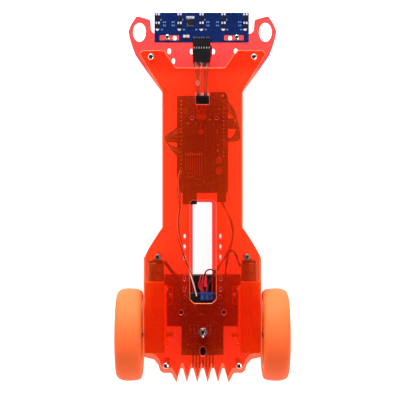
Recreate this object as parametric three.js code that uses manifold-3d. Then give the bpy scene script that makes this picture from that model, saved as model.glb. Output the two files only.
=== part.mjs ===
// A two-wheeled robot car: two clear-cut acrylic plates on standoffs, a line sensor board across the
// nose, a controller board in the neck, a motor driver and two geared motors at the broad tail, and a
// battery holder and a ball caster under the lower plate.
// Millimetres, +Z up, +Y towards the sensor board, X = 0 on the centre line, Z = 0 on the floor.
import * as THREE from "three";
import { mergeVertices } from "three/addons/utils/BufferGeometryUtils.js";
import Module from "manifold-3d";

const wasm = await Module();
wasm.setup();

// ---- Driving dimensions ----
const GAP = 0.3; // left between pieces that touch
const PLATE = 3;
const BOARD = 1.6;
const WHEEL_R = 47;
const WHEEL_SIDES = 40;
const TYRE_WALL = 11;
const TYRE_W = 26;
const WHEEL_X = 61; // inner face of the tyre
const AXLE_Y = -141.5;
const AXLE_Z = WHEEL_R;
const LOWER_Z = 31; // underside of the lower plate
const DECK_Z = LOWER_Z + PLATE; // top face of the lower plate
const TOP_Z = 66; // underside of the top plate
const ROOF_Z = TOP_Z + PLATE; // top face of the top plate

// Outline of both plates
const NECK_X = 40.4;
const NECK_FRONT_Y = 105;
const NECK_REAR_Y = -32.5;
const BODY_X = 59;
const BODY_FRONT_Y = -59;
const BODY_REAR_Y = -160;
const TAIL_X = 44;
const TAIL_Y = -177.6;
const COMB_TIP_Y = -187.4;
const COMB_ROOT_Y = -172.8;
const COMB_PITCH = 10.4;
const COMB_TEETH = 6;
const HEAD_X = 63;
const HEAD_Y = 145;
const RECESS_X = -2.2; // the recess in the head sits a little off the centre line
const NOSE_Y = 167.3; // front edge of the lower plate between its ears
const SLOT_X = 0.5; // so does the slot
const SLOT_FRONT_Y = -4.8;
const SLOT_REAR_Y = -108;
const SLOT_HALF = 13.1;
const SLOT_FRONT_CUT = 2.5; // its corners are cut off
const SLOT_REAR_CUT = 4;
const LOWER_SLOT_W = 19.8;
const LOWER_SLOT_L = 101;

// Two columns of small oval holes beside the slot, in both plates
const OVAL_X = 18.1;
const OVAL_FRONT_Y = -41.3;
const OVAL_PITCH = 10.45;
const OVAL_ROWS = [0, 1, 2, 4, 5]; // the fourth place in each column has no hole
const OVAL_RX = 1.25;
const OVAL_RY = 2.4;

// Openings in the top plate, over the controller's plug, a wire, two board screws and the motor driver
const PLUG_WINDOW = { x: -0.1, y: 97, w: 13.6, d: 12, r: 0.6 };
const WIRE_HOLE = { x: -4.8, y: 112.8, rx: 1.7, ry: 2.5 };
const BOARD_HOLES = { xs: [-10.5, 14.1], y: 77.4, r: 1.5 };
const MOUNT_HOLE = { x: 21.3, y: -117.2, rx: 1.9, ry: 2.4 };
const TAIL_HOLE = { x: 0.4, y: -156.1, rx: 3.2, ry: 4.8 };

// Openings in the lower plate: a large oval in each ear and small ones across the nose
const EAR_HOLE = { x: 65, y: 168.6, rx: 6.6, ry: 9.8 };
const NOSE_HOLES = [
  { x: 34.4, y: 149, rx: 2, ry: 3 },
  { x: 11, y: 148.7, rx: 2, ry: 3 },
  { x: 28.6, y: 162.6, rx: 2, ry: 2.4 },
];
const SINGLE_HOLE = { x: -30, y: 138.8, rx: 1.8, ry: 3 };

// Fasteners
const STANDOFF_R = 2.9;
const SCREW_R = 1.4;
const SCREW_HOLE_R = 1.75;
const SCREW_HEAD_R = 3.2;
const SCREW_HEAD_H = 2;
const SCREW_L = 9;
const POSTS = { front: [51.5, 138.4], middle: [44.6, -61.6], rear: [36.6, -170.3] };

// Sensor board
const NOSE = 188.5; // front edge of the whole car
const SENSOR_W = 97.5;
const SENSOR_D = 31;
const SENSOR_X = -0.8;
const SENSOR_Z = DECK_Z + GAP;
const IR_COUNT = 5;
const IR_PITCH = 22.6;
const IR_Y = 181.8;
const IR_HALF_W = 2.9;
const IR_HALF_D = 5.1;
const IR_DEPTH = 6.6;
const SLIT = { xs: [-34.1, 32.4], y: 162.6, w: 19.8, d: 5 };
const HEADER_W = 18.3;
const HEADER_PITCH = 2.6;
const HEADER_REAR_Y = 158.9;
const HEADER_D = 2.5;
const PLUG_REAR_Y = 137.2;
const PLUG_H = 2.7;
const FOOT_HALF = 0.35;
const GROOVE_HALF = 0.1;

// Controller and motor driver boards
const SPACER = 6;
const CONTROL_Z = DECK_Z + SPACER;
const CONTROL_W = 52.5;
const CONTROL_FRONT_Y = 102.4;
const CONTROL_REAR_Y = 2.6;
const DRIVER_W = 43;
const DRIVER_FRONT_Y = -100;
const DRIVER_REAR_Y = -163.4;
const BOARD_TOP = CONTROL_Z + BOARD;
const PARTS_Z = BOARD_TOP + GAP;
const SOCKET_H = 8.5;
const SOCKET_HALF = 1.25;
const PLUG_TALL = 19;
const CHIP_LOW = [3, 26];
const CHIP_HIGH = [12, 78];
const CHIP_H = 3.7;
const PORT_H = 11; // height of the USB socket and the power jack
const USB = { left: -20.2, right: -5.6, rear: -9.2, front: 14, wall: 2 };
const JACK = { left: 15, right: 24.2, rear: -7, front: 13, bore: 3.2, depth: 12.6 };
const BUTTON = { x: -12.6, y: 21.4, half: 3, height: 3.4, r: 1.7, cap: 1.5 };
const SINK = { half: 11.5, front: -149.5, back: 2.5, rear: -160.5, height: 21 };
const FIN = { count: 6, pitch: 4.36, t: 1.2 };
const CLAMP_D = 7.6;
const CLAMP_H = 10;

// Geared motors
const BOX_X = 39;
const BOX_W = 19.4;
const BOX_H = 22.4;
const BOX_FRONT_Y = -86.8;
const BOX_REAR_Y = -159.7;
const CAN_FRONT_Y = -66;
const SHAFT_R = 2.7;
const SHAFT_FLAT = 1.9; // from the shaft's middle to each flat
const SHAFT_INNER_X = 30;
const SHAFT_OUTER_X = 76;
const BOSS_R = 5.4;
const BOSS_H = 0.8;
const MOUNT_SCREWS = { ys: [-96, -151], z: AXLE_Z + 8, r: 1.5 };
const CAN_W = 16.4;
const CAN_H = 20;
const ANGLE = { t: 2.2, front: -92, rear: -152, reach: 8, footFront: -94, footRear: -112 };

// Wheel rim
const RIM_WALL = 3.4;
const RIM_EDGE = 1; // the rim sits this far inside each face of the tyre
const HUB_R = 6.5;
const SPOKES = 5;
const WINDOW_HALF = 0.46; // half the angle of the opening between two spokes, at its outer end

// Battery holder
const HOLDER_W = 79;
const HOLDER_FRONT_Y = -82.4;
const HOLDER_REAR_Y = -135.4;
const HOLDER_H = 20.6;
const CELL_R = 8.9;
const CELL_L = 65;
const CELL_TIP_R = 3;
const CELL_TIP_H = 1.2;
const CELL_Y = 12.6; // each cell's middle from the holder's middle
const HOLDER_WALL = 1.6;

// Toggle switch
const SWITCH_Y = -136.6;
const SWITCH_X = 0.4;
const BUSH_R = 3;
const BUSH_BORE_R = 2.5;
const BUSH_TOP = ROOF_Z + 7;
const LEVER_PIVOT_Z = ROOF_Z + 3;
const LEVER_TILT = THREE.MathUtils.degToRad(12);

// Caster
const CASTER_Y = 150;
const BALL_R = 8;

// ---- Finishes ----
function finish(color, roughness, metalness = 0) {
  return { color, roughness, metalness };
}
const ACRYLIC_ORANGE = finish(0xff4a12, 0.15);
const ACRYLIC_PINK = finish(0xff4646, 0.15);
const TYRE = finish(0xff6a38, 0.75);
const HUB = finish(0xd98a10, 0.45);
const STEEL = finish(0xc8c8cc, 0.25, 1);
const BRASS = finish(0xc9a24a, 0.35, 1);
const BLACK = finish(0x131416, 0.5);
const NAVY = finish(0x0e1750, 0.4);
const TEAL = finish(0x0f4a52, 0.45);
const YELLOW = finish(0xf0a818, 0.5);
const BLUE = finish(0x1f5fc8, 0.45);
const RED = finish(0xd8324a, 0.4);
const WIRE = finish(0x2a2a2e, 0.6);

// ---- Shape helpers ----
function polygon(points) {
  return new THREE.Shape(points.map(([x, y]) => new THREE.Vector2(x, y)));
}

// The corners of a many-sided ring about (x, y).
function ring(x, y, rx, ry, sides) {
  const corner = (_, i) => {
    const angle = (i * 2 * Math.PI) / sides;
    return new THREE.Vector2(x + rx * Math.cos(angle), y + ry * Math.sin(angle));
  };
  return Array.from({ length: sides }, corner);
}

function ellipse(x, y, rx, ry, sides = 12) {
  return new THREE.Path(ring(x, y, rx, ry, sides));
}

function circle(x, y, r, sides = 12) {
  return ellipse(x, y, r, r, sides);
}

// A rectangle about (x, y) whose corners are rounded by r.
function roundedRect(x, y, w, d, r, Kind = THREE.Shape) {
  const path = new Kind();
  const [left, right, low, high] = [x - w / 2, x + w / 2, y - d / 2, y + d / 2];
  path.absarc(right - r, high - r, r, 0, Math.PI / 2);
  path.absarc(left + r, high - r, r, Math.PI / 2, Math.PI);
  path.absarc(left + r, low + r, r, Math.PI, 1.5 * Math.PI);
  path.absarc(right - r, low + r, r, 1.5 * Math.PI, 2 * Math.PI);
  path.closePath();
  return path;
}

// A flat shape with thickness, standing on z.
function prism(shape, z, height, curveSegments = 5) {
  const geometry = new THREE.ExtrudeGeometry(shape, { depth: height, bevelEnabled: false, curveSegments });
  return geometry.translate(0, 0, z);
}

// A box from its lowest to its highest corner.
function block([x0, y0, z0], [x1, y1, z1]) {
  const geometry = new THREE.BoxGeometry(x1 - x0, y1 - y0, z1 - z0);
  return geometry.translate((x0 + x1) / 2, (y0 + y1) / 2, (z0 + z1) / 2);
}

// A closed profile of [radius, height] turned about the Z axis.
function turned(profile, segments) {
  const points = profile.map(([r, h]) => new THREE.Vector2(r, h));
  return new THREE.LatheGeometry(points, segments).rotateX(Math.PI / 2);
}

// A round bar between two points along X.
function barX(x0, x1, y, z, r, segments = 16) {
  const bar = new THREE.CylinderGeometry(r, r, x1 - x0, segments).rotateZ(Math.PI / 2);
  return bar.translate((x0 + x1) / 2, y, z);
}

// A round bar between two heights.
function barZ(x, y, z0, z1, r, segments = 12) {
  const bar = new THREE.CylinderGeometry(r, r, z1 - z0, segments).rotateX(Math.PI / 2);
  return bar.translate(x, y, (z0 + z1) / 2);
}

// A cable that follows hand-placed points.
function cable(points, r, steps) {
  const route = new THREE.CatmullRomCurve3(points.map((p) => new THREE.Vector3(...p)));
  const section = new THREE.Shape(ring(0, 0, r, r, 8));
  return new THREE.ExtrudeGeometry(section, { extrudePath: route, steps });
}

function toSolid(geometry) {
  const bare = geometry.index ? geometry.toNonIndexed() : geometry.clone();
  bare.deleteAttribute("normal");
  bare.deleteAttribute("uv");
  const merged = mergeVertices(bare, 1e-4);
  const vertProperties = merged.attributes.position.array;
  const triVerts = new Uint32Array(merged.index.array);
  return new wasm.Manifold(new wasm.Mesh({ numProp: 3, vertProperties, triVerts }));
}

function toGeometry(solid) {
  const mesh = solid.getMesh();
  const geometry = new THREE.BufferGeometry();
  geometry.setAttribute("position", new THREE.BufferAttribute(mesh.vertProperties, 3));
  geometry.setIndex(new THREE.BufferAttribute(mesh.triVerts, 1));
  geometry.computeVertexNormals();
  return geometry;
}

// The first geometry with the second list joined to it and the third list cut out of it.
function carve(base, joined, removed = []) {
  let solid = toSolid(base);
  for (const piece of joined) solid = solid.add(toSolid(piece));
  for (const piece of removed) solid = solid.subtract(toSolid(piece));
  return toGeometry(solid);
}

function mirrored(points) {
  return points.map(([x, y]) => [-x, y]).reverse();
}

// ---- The car ----
const car = new THREE.Group();

function add(name, geometry, look, place = [0, 0, 0]) {
  const mesh = new THREE.Mesh(geometry, new THREE.MeshStandardMaterial(look));
  mesh.name = name;
  mesh.position.set(...place);
  car.add(mesh);
  return mesh;
}

// ---- Plates ----
// The right flank of both plates, from the head down to the foot of the comb.
function flank() {
  return [
    [NECK_X, NECK_FRONT_Y],
    [NECK_X, NECK_REAR_Y],
    [NECK_X + 3.2, NECK_REAR_Y - 4],
    [BODY_X - 5, BODY_FRONT_Y + 6],
    [BODY_X, BODY_FRONT_Y - 4],
    [BODY_X, BODY_REAR_Y],
    [BODY_X - 1, BODY_REAR_Y - 1.8],
    [BODY_X - 10.5, BODY_REAR_Y - 4],
    [TAIL_X, TAIL_Y + 8],
    [TAIL_X - 1.4, TAIL_Y + 2.6],
    [TAIL_X - 4.4, TAIL_Y],
    [COMB_PITCH * 3, TAIL_Y],
  ];
}

// The comb's teeth from right to left, with round-topped notches between them.
function comb() {
  const points = [];
  const notch = COMB_PITCH / 2;
  for (let tooth = 0; tooth < COMB_TEETH; tooth += 1) {
    const x = ((COMB_TEETH - 1) / 2 - tooth) * COMB_PITCH;
    points.push([x, COMB_TIP_Y]);
    if (tooth === COMB_TEETH - 1) break;
    for (const share of [0.55, 0, -0.55]) {
      const rise = Math.sqrt(1 - share * share) * notch;
      points.push([x - notch + (share * notch) / 2, COMB_ROOT_Y - notch + rise]);
    }
  }
  return points;
}

function topOutline() {
  const head = [
    [RECESS_X + 24.4, HEAD_Y - 17.4],
    [RECESS_X + 36.8, HEAD_Y],
    [HEAD_X - 2.4, HEAD_Y],
    [HEAD_X, HEAD_Y - 3.6],
  ];
  const left = [
    [-HEAD_X, HEAD_Y - 3.6],
    [-HEAD_X + 2.4, HEAD_Y],
    [RECESS_X - 36.8, HEAD_Y],
    [RECESS_X - 24.4, HEAD_Y - 17.4],
  ];
  return polygon([...head, ...flank(), ...comb(), ...mirrored(flank()), ...left]);
}

// One ear of the lower plate, from the nose edge round to the neck.
function ear() {
  return [
    [50.2, NOSE_Y],
    [52.9, NOSE_Y + 3],
    [53.7, 181.2],
    [61, 183.6],
    [68, 185.2],
    [73.8, 176.4],
    [76.4, 169.6],
    [75.2, 162.4],
    [72, 152],
    [69, 144.4],
    [57.3, 127.5],
  ];
}

function lowerOutline() {
  return polygon([...ear(), ...flank(), ...comb(), ...mirrored(flank()), ...mirrored(ear())]);
}

// An oval hole, or its twin on the left side.
function oval({ x, y, rx, ry }, side = 1, sides = 12) {
  return ellipse(side * x, y, rx, ry, sides);
}

// The small oval holes beside the slot, and the screw holes.
function sharedHoles(shape) {
  for (const side of [-1, 1]) {
    for (const row of OVAL_ROWS) {
      const y = OVAL_FRONT_Y - row * OVAL_PITCH;
      shape.holes.push(ellipse(side * OVAL_X, y, OVAL_RX, OVAL_RY, 8));
    }
    for (const [x, y] of Object.values(POSTS)) {
      shape.holes.push(circle(side * x, y, SCREW_HOLE_R, 10));
    }
  }
}

// The long slot, with its four corners cut off.
function slot() {
  const half = [
    [SLOT_HALF - SLOT_REAR_CUT, SLOT_REAR_Y],
    [SLOT_HALF, SLOT_REAR_Y + SLOT_REAR_CUT],
    [SLOT_HALF, SLOT_FRONT_Y - SLOT_FRONT_CUT],
    [SLOT_HALF - SLOT_FRONT_CUT, SLOT_FRONT_Y],
  ];
  const corners = [...half, ...mirrored(half)];
  return new THREE.Path(corners.map(([x, y]) => new THREE.Vector2(SLOT_X + x, y)));
}

function topPlate() {
  const shape = topOutline();
  sharedHoles(shape);
  const { x, y, w, d, r } = PLUG_WINDOW;
  shape.holes.push(slot(), roundedRect(x, y, w, d, r, THREE.Path));
  shape.holes.push(oval(WIRE_HOLE), oval(TAIL_HOLE));
  for (const holeX of BOARD_HOLES.xs) shape.holes.push(circle(holeX, BOARD_HOLES.y, BOARD_HOLES.r));
  for (const side of [-1, 1]) shape.holes.push(oval(MOUNT_HOLE, side));
  shape.holes.push(circle(SWITCH_X, SWITCH_Y, BUSH_R + GAP, 20));
  return prism(shape, 0, PLATE);
}

function lowerPlate() {
  const shape = lowerOutline();
  sharedHoles(shape);
  const slotY = (SLOT_FRONT_Y + SLOT_REAR_Y) / 2 - 1;
  shape.holes.push(roundedRect(0, slotY, LOWER_SLOT_W, LOWER_SLOT_L, 2, THREE.Path));
  for (const side of [-1, 1]) {
    shape.holes.push(oval(EAR_HOLE, side, 20));
    for (const hole of NOSE_HOLES) shape.holes.push(oval(hole, side));
  }
  shape.holes.push(oval(SINGLE_HOLE));
  return prism(shape, 0, PLATE);
}

add("lower_plate", lowerPlate(), ACRYLIC_PINK, [0, 0, LOWER_Z]);
add("top_plate", topPlate(), ACRYLIC_ORANGE, [0, 0, TOP_Z]);

// ---- Standoffs and their screws ----
function standoff() {
  const shape = new THREE.Shape(ring(0, 0, STANDOFF_R, STANDOFF_R, 6));
  shape.holes.push(circle(0, 0, SCREW_HOLE_R));
  return prism(shape, 0, TOP_Z - DECK_Z - 2 * GAP);
}

function screw() {
  const profile = [
    [0, -SCREW_L],
    [SCREW_R, -SCREW_L],
    [SCREW_R, 0],
    [SCREW_HEAD_R, 0],
    [SCREW_HEAD_R * 0.75, SCREW_HEAD_H],
    [0, SCREW_HEAD_H],
  ];
  return turned(profile, 10);
}

for (const [row, [x, y]] of Object.entries(POSTS)) {
  for (const [side, sign] of [["left", -1], ["right", 1]]) {
    add("standoff_" + row + "_" + side, standoff(), BRASS, [sign * x, y, DECK_Z + GAP]);
    add("screw_" + row + "_" + side, screw(), STEEL, [sign * x, y, ROOF_Z + GAP]);
  }
}

// ---- Sensor board ----
function sensorBoard() {
  const middle = NOSE - SENSOR_D / 2;
  const shape = roundedRect(SENSOR_X, middle, SENSOR_W, SENSOR_D, 1.2);
  for (const x of SLIT.xs) shape.holes.push(roundedRect(x, SLIT.y, SLIT.w, SLIT.d, 1, THREE.Path));
  return prism(shape, SENSOR_Z, BOARD, 3);
}

// One infrared emitter and receiver pair in its moulded shell.
function irSensor() {
  const shell = block([-IR_HALF_W, -IR_HALF_D, -IR_DEPTH], [IR_HALF_W, IR_HALF_D, 0]);
  const eyes = [-2.5, 2.5].map((y) => barZ(0, y, -IR_DEPTH - 0.6, -IR_DEPTH + 0.4, 1.7, 10));
  return carve(shell, eyes);
}

// The pins' plastic strip at the rear of the sensor board, with a soldered foot for each pin.
function sensorHeader() {
  const low = SENSOR_Z + BOARD + GAP;
  const [left, right] = [SENSOR_X - HEADER_W / 2, SENSOR_X + HEADER_W / 2];
  const front = HEADER_REAR_Y + HEADER_D;
  const strip = block([left, HEADER_REAR_Y, low], [right, front, low + 2.5]);
  const feet = [];
  for (let pin = -3; pin <= 3; pin += 1) {
    const x = SENSOR_X + pin * HEADER_PITCH;
    feet.push(block([x - FOOT_HALF, front - 0.4, low + 0.9], [x + FOOT_HALF, front + 2, low + 1.6]));
  }
  return carve(strip, feet);
}

// Seven one-way housings side by side, each pushed on to a pin.
function sensorPlug() {
  const low = SENSOR_Z + BOARD + GAP;
  const [left, right] = [SENSOR_X - HEADER_W / 2, SENSOR_X + HEADER_W / 2];
  const front = HEADER_REAR_Y - GAP;
  const housing = block([left, PLUG_REAR_Y, low], [right, front, low + PLUG_H]);
  const grooves = [];
  for (let groove = -2.5; groove <= 2.5; groove += 1) {
    const x = SENSOR_X + groove * HEADER_PITCH;
    const floor = low + PLUG_H - GAP;
    grooves.push(block([x - GROOVE_HALF, PLUG_REAR_Y - 1, floor], [x + GROOVE_HALF, front + 1, floor + 1]));
  }
  return carve(housing, [], grooves);
}

add("sensor_board", sensorBoard(), NAVY);
for (let i = 0; i < IR_COUNT; i += 1) {
  const x = SENSOR_X + (i - (IR_COUNT - 1) / 2) * IR_PITCH;
  add("ir_sensor_" + (i + 1), irSensor(), BLACK, [x, IR_Y, SENSOR_Z - GAP]);
}
add("sensor_header", sensorHeader(), BLACK);
add("sensor_plug", sensorPlug(), BLACK);

// ---- Controller board ----
function controllerBoard() {
  const middle = (CONTROL_FRONT_Y + CONTROL_REAR_Y) / 2;
  const outline = roundedRect(0, middle, CONTROL_W, CONTROL_FRONT_Y - CONTROL_REAR_Y, 2);
  const board = prism(outline, CONTROL_Z, BOARD, 2);
  const { x, y, half, height } = BUTTON;
  const buttonBase = block([x - half, y - half, CONTROL_Z + 1], [x + half, y + half, BOARD_TOP + height]);
  return carve(board, [buttonBase]);
}

// A socket strip with a row of square pin holes.
function pinSocket(x, low, high, pins) {
  const pitch = (high - low) / pins;
  const top = PARTS_Z + SOCKET_H;
  const strip = block([x - SOCKET_HALF, low, PARTS_Z], [x + SOCKET_HALF, high, top]);
  const holes = [];
  for (let pin = 0; pin < pins; pin += 1) {
    const y = low + (pin + 0.5) * pitch;
    holes.push(block([x - 0.4, y - 0.55, top - 3.5], [x + 0.4, y + 0.55, top + 1]));
  }
  return carve(strip, [], holes);
}

function usbSocket() {
  const { left, right, rear, front, wall } = USB;
  const shell = block([left, rear, PARTS_Z], [right, front, PARTS_Z + PORT_H]);
  const depth = 5;
  const mouth = block([left + wall, rear - 1, PARTS_Z + wall], [right - wall, depth, PARTS_Z + PORT_H - 1.4]);
  const tongue = block([left + 3.6, rear + 0.7, PARTS_Z + 4.6], [right - 3.6, depth + 1, PARTS_Z + 7]);
  return carve(shell, [], [toGeometry(toSolid(mouth).subtract(toSolid(tongue)))]);
}

function powerJack() {
  const { left, right, rear, front, bore, depth } = JACK;
  const shell = block([left, rear, PARTS_Z], [right, front, PARTS_Z + PORT_H]);
  const hole = new THREE.CylinderGeometry(bore, bore, depth + 1, 14);
  hole.translate((left + right) / 2, rear + (depth - 1) / 2, PARTS_Z + 6);
  return carve(shell, [], [hole]);
}

function resetButton() {
  const { r, cap } = BUTTON;
  return turned([[0, 0], [r, 0], [r, cap], [0, cap]], 14);
}

add("controller_board", controllerBoard(), TEAL);
add("pin_socket_left", pinSocket(-21.6, 26, 98, 18), BLACK);
add("pin_socket_right", pinSocket(21.6, 38, 98, 15), BLACK);
add("microcontroller", block([...CHIP_LOW, PARTS_Z], [...CHIP_HIGH, PARTS_Z + CHIP_H]), BLACK);
add("usb_socket", usbSocket(), BLACK);
add("power_jack", powerJack(), BLACK);
add("reset_button", resetButton(), BLACK, [BUTTON.x, BUTTON.y, BOARD_TOP + BUTTON.height + 2 * GAP]);
add("controller_plug", block([-6.5, 92.2, PARTS_Z], [5.4, 100.9, PARTS_Z + PLUG_TALL]), BLACK);

// ---- Motor driver board ----
function driverBoard() {
  const middle = (DRIVER_FRONT_Y + DRIVER_REAR_Y) / 2;
  return prism(roundedRect(0, middle, DRIVER_W, DRIVER_FRONT_Y - DRIVER_REAR_Y, 1), CONTROL_Z, BOARD, 2);
}

// An upright back with fins, standing on the board.
function heatSink() {
  const { half, front, back, rear, height } = SINK;
  const top = PARTS_Z + height;
  const upright = block([-half, front - back, PARTS_Z], [half, front, top]);
  const blades = [];
  for (let i = 0; i < FIN.count; i += 1) {
    const x = -half + i * FIN.pitch;
    blades.push(block([x, rear, PARTS_Z], [x + FIN.t, front - back + 1, top]));
  }
  return carve(upright, blades);
}

// A row of clamp ways: a body with a wire mouth in its front and a screw well in its top for each way.
function terminal(ways, pitch) {
  const half = (ways * pitch) / 2;
  const body = block([-half, 0, 0], [half, CLAMP_D, CLAMP_H]);
  const removed = [];
  for (let way = 0; way < ways; way += 1) {
    const x = (way - (ways - 1) / 2) * pitch;
    removed.push(block([x - 1.4, CLAMP_D - 2, 1.6], [x + 1.4, CLAMP_D + 0.4, 4.6]));
    removed.push(barZ(x, 3.4, CLAMP_H - 3, CLAMP_H + 1, 1.6, 10));
  }
  return carve(body, [], removed);
}

add("driver_board", driverBoard(), TEAL);
add("heat_sink", heatSink(), BLACK);
add("terminal_power", terminal(3, 4.8), BLUE, [4.6, DRIVER_FRONT_Y - 6.4, PARTS_Z]);
for (const [side, sign] of [["left", -1], ["right", 1]]) {
  const clamps = add("terminal_" + side, terminal(2, 7), BLUE, [sign * 13.9, -117.5, PARTS_Z]);
  clamps.rotation.z = (-sign * Math.PI) / 2;
}

// ---- Battery holder and its two cells ----
const HOLDER_TOP = LOWER_Z - GAP;
const HOLDER_Y = (HOLDER_FRONT_Y + HOLDER_REAR_Y) / 2;

// A tray that is open below, with a bay for each cell and a hole in its roof for the leads.
function batteryHolder() {
  const half = HOLDER_W / 2;
  const low = HOLDER_TOP - HOLDER_H;
  const shell = block([-half, HOLDER_REAR_Y, low], [half, HOLDER_FRONT_Y, HOLDER_TOP]);
  const removed = [block([-1.6, -93.6, HOLDER_TOP - 3], [4.6, -83.6, HOLDER_TOP + 1])];
  const [bayX, bayY] = [half - 5, 10.8];
  for (const side of [-1, 1]) {
    const y = HOLDER_Y + side * CELL_Y;
    removed.push(block([-bayX, y - bayY, low - 1], [bayX, y + bayY, HOLDER_TOP - HOLDER_WALL]));
  }
  return carve(shell, [], removed);
}

function cell() {
  const shoulder = CELL_L - CELL_TIP_H;
  const profile = [
    [0, 0],
    [CELL_R, 0],
    [CELL_R, shoulder],
    [CELL_TIP_R, shoulder],
    [CELL_TIP_R, CELL_L],
    [0, CELL_L],
  ];
  return turned(profile, 20).rotateY(Math.PI / 2);
}

add("battery_holder", batteryHolder(), BLACK);
const CELL_Z = HOLDER_TOP - HOLDER_WALL - GAP - CELL_R;
for (const [place, sign] of [["front", 1], ["rear", -1]]) {
  const one = add("cell_" + place, cell(), RED, [(-sign * CELL_L) / 2, HOLDER_Y + sign * CELL_Y, CELL_Z]);
  if (sign < 0) one.rotation.z = Math.PI;
}

// ---- Geared motors, shafts and wheels ----
const [BOX_INNER, BOX_OUTER] = [BOX_X - 1, BOX_X + BOX_W + 1];

function gearbox() {
  const [middleX, middleY] = [BOX_X + BOX_W / 2, (BOX_FRONT_Y + BOX_REAR_Y) / 2];
  const outline = roundedRect(middleX, middleY, BOX_W, BOX_FRONT_Y - BOX_REAR_Y, 1.6);
  const shell = prism(outline, AXLE_Z - BOX_H / 2, BOX_H, 2);
  const bore = barX(BOX_INNER, BOX_OUTER, AXLE_Y, AXLE_Z, SHAFT_R + GAP, 20);
  const boss = barX(BOX_OUTER - 2, BOX_OUTER - 1 + BOSS_H, AXLE_Y, AXLE_Z, BOSS_R, 20);
  const { ys, z, r } = MOUNT_SCREWS;
  return carve(shell, [boss], [bore, ...ys.map((y) => barX(BOX_INNER, BOX_OUTER, y, z, r, 10))]);
}

function motorCan() {
  const middle = BOX_X + BOX_W / 2 - 1.2;
  const length = CAN_FRONT_Y - BOX_FRONT_Y - GAP;
  const can = prism(roundedRect(0, 0, CAN_W, CAN_H, 7), 0, length, 4).rotateX(-Math.PI / 2);
  const boss = new THREE.CylinderGeometry(3, 3, 3, 12).translate(0, length - 0.5, 0);
  return carve(can, [boss]).translate(middle, BOX_FRONT_Y + GAP, AXLE_Z);
}

// The double-ended output shaft, flattened where the wheel drives it.
function wheelShaft() {
  const bar = barX(SHAFT_INNER_X, SHAFT_OUTER_X, AXLE_Y, AXLE_Z, SHAFT_R, 20);
  const flats = [-1, 1].map((sign) => {
    const z = AXLE_Z + sign * (SHAFT_FLAT + 1);
    return block([WHEEL_X, AXLE_Y - 4, z - 1], [SHAFT_OUTER_X + 1, AXLE_Y + 4, z + 1]);
  });
  return carve(bar, [], flats);
}

// An angle bracket that stands on the lower plate beside the gearbox.
function motorBracket() {
  const { t, front, rear, reach, footFront, footRear } = ANGLE;
  const [x, low] = [BOX_X - GAP, DECK_Z + GAP];
  const leg = block([x - t, rear, low], [x, front, AXLE_Z + BOX_H / 2]);
  const foot = block([x - reach, footRear, low], [x, footFront, low + t]);
  const shaftHole = barX(x - 3, x + 1, AXLE_Y, AXLE_Z, SHAFT_R + 1.5, 16);
  const window = block([x - 3, -132, DECK_Z + 8], [x + 1, -104, AXLE_Z + 5]);
  return carve(leg, [foot], [shaftHole, window]);
}

function tyre() {
  const inner = WHEEL_R - TYRE_WALL;
  const edge = TYRE_W / 2;
  const profile = [
    [inner, -edge],
    [WHEEL_R - 4.4, -edge],
    [WHEEL_R - 1.6, -edge + 2.4],
    [WHEEL_R, 0],
    [WHEEL_R - 1.6, edge - 2.4],
    [WHEEL_R - 4.4, edge],
    [inner, edge],
    [inner, -edge],
  ];
  return turned(profile, WHEEL_SIDES);
}

// A rim with five spokes and a hub that slides on the shaft.
function rim() {
  const outer = WHEEL_R - TYRE_WALL - GAP;
  const inner = outer - RIM_WALL;
  const edge = TYRE_W / 2 - RIM_EDGE;
  const closed = [[inner, -edge], [outer, -edge], [outer, edge], [inner, edge], [inner, -edge]];
  const web = turned([[0, -1], [inner + 1, -1], [inner + 1, 4], [0, 4]], WHEEL_SIDES);
  const hub = turned([[0, -edge - 1], [HUB_R, -edge - 1], [HUB_R, 6], [0, 6]], 20);
  const removed = [barZ(0, 0, -edge - 3, 3, SHAFT_R + GAP, 20)];
  for (let i = 0; i < SPOKES; i += 1) {
    const window = new THREE.Shape();
    window.absarc(0, 0, inner - 3, -WINDOW_HALF, WINDOW_HALF);
    window.absarc(0, 0, HUB_R + 4, 0.3, -0.3, true);
    window.closePath();
    removed.push(prism(window, -3, 9, 4).rotateZ((i * 2 * Math.PI) / SPOKES));
  }
  return carve(turned(closed, WHEEL_SIDES), [web, hub], removed);
}

for (const [side, sign] of [["left", -1], ["right", 1]]) {
  const drive = new THREE.Group();
  if (sign < 0) drive.scale.x = -1;
  const wheel = new THREE.Group();
  wheel.position.set(WHEEL_X + TYRE_W / 2, AXLE_Y, AXLE_Z);
  wheel.rotation.y = Math.PI / 2;
  drive.add(wheel);
  car.add(drive);
  drive.add(add("gearbox_" + side, gearbox(), YELLOW));
  drive.add(add("motor_can_" + side, motorCan(), STEEL));
  drive.add(add("motor_bracket_" + side, motorBracket(), ACRYLIC_ORANGE));
  drive.add(add("wheel_shaft_" + side, wheelShaft(), HUB));
  wheel.add(add("rim_" + side, rim(), HUB));
  wheel.add(add("tyre_" + side, tyre(), TYRE));
}

// ---- Toggle switch through the top plate ----
function switchBody() {
  const shell = block([-4, -6.5, TOP_Z - GAP - 11], [4, 6.5, TOP_Z - GAP]);
  const bush = barZ(0, 0, TOP_Z - 2, BUSH_TOP, BUSH_R, 20);
  const lugs = [-4, 0, 4].map((y) => block([-1, y - 0.4, TOP_Z - 15], [1, y + 0.4, TOP_Z - 11]));
  const bore = barZ(0, 0, TOP_Z + 1, BUSH_TOP + 1, BUSH_BORE_R, 20);
  return carve(shell, [bush, ...lugs], [bore]);
}

function switchNut() {
  const shape = new THREE.Shape(ring(0, 0, 4.6, 4.6, 6));
  shape.holes.push(circle(0, 0, BUSH_R + GAP, 20));
  return prism(shape, ROOF_Z + GAP, 2, 3);
}

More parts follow.
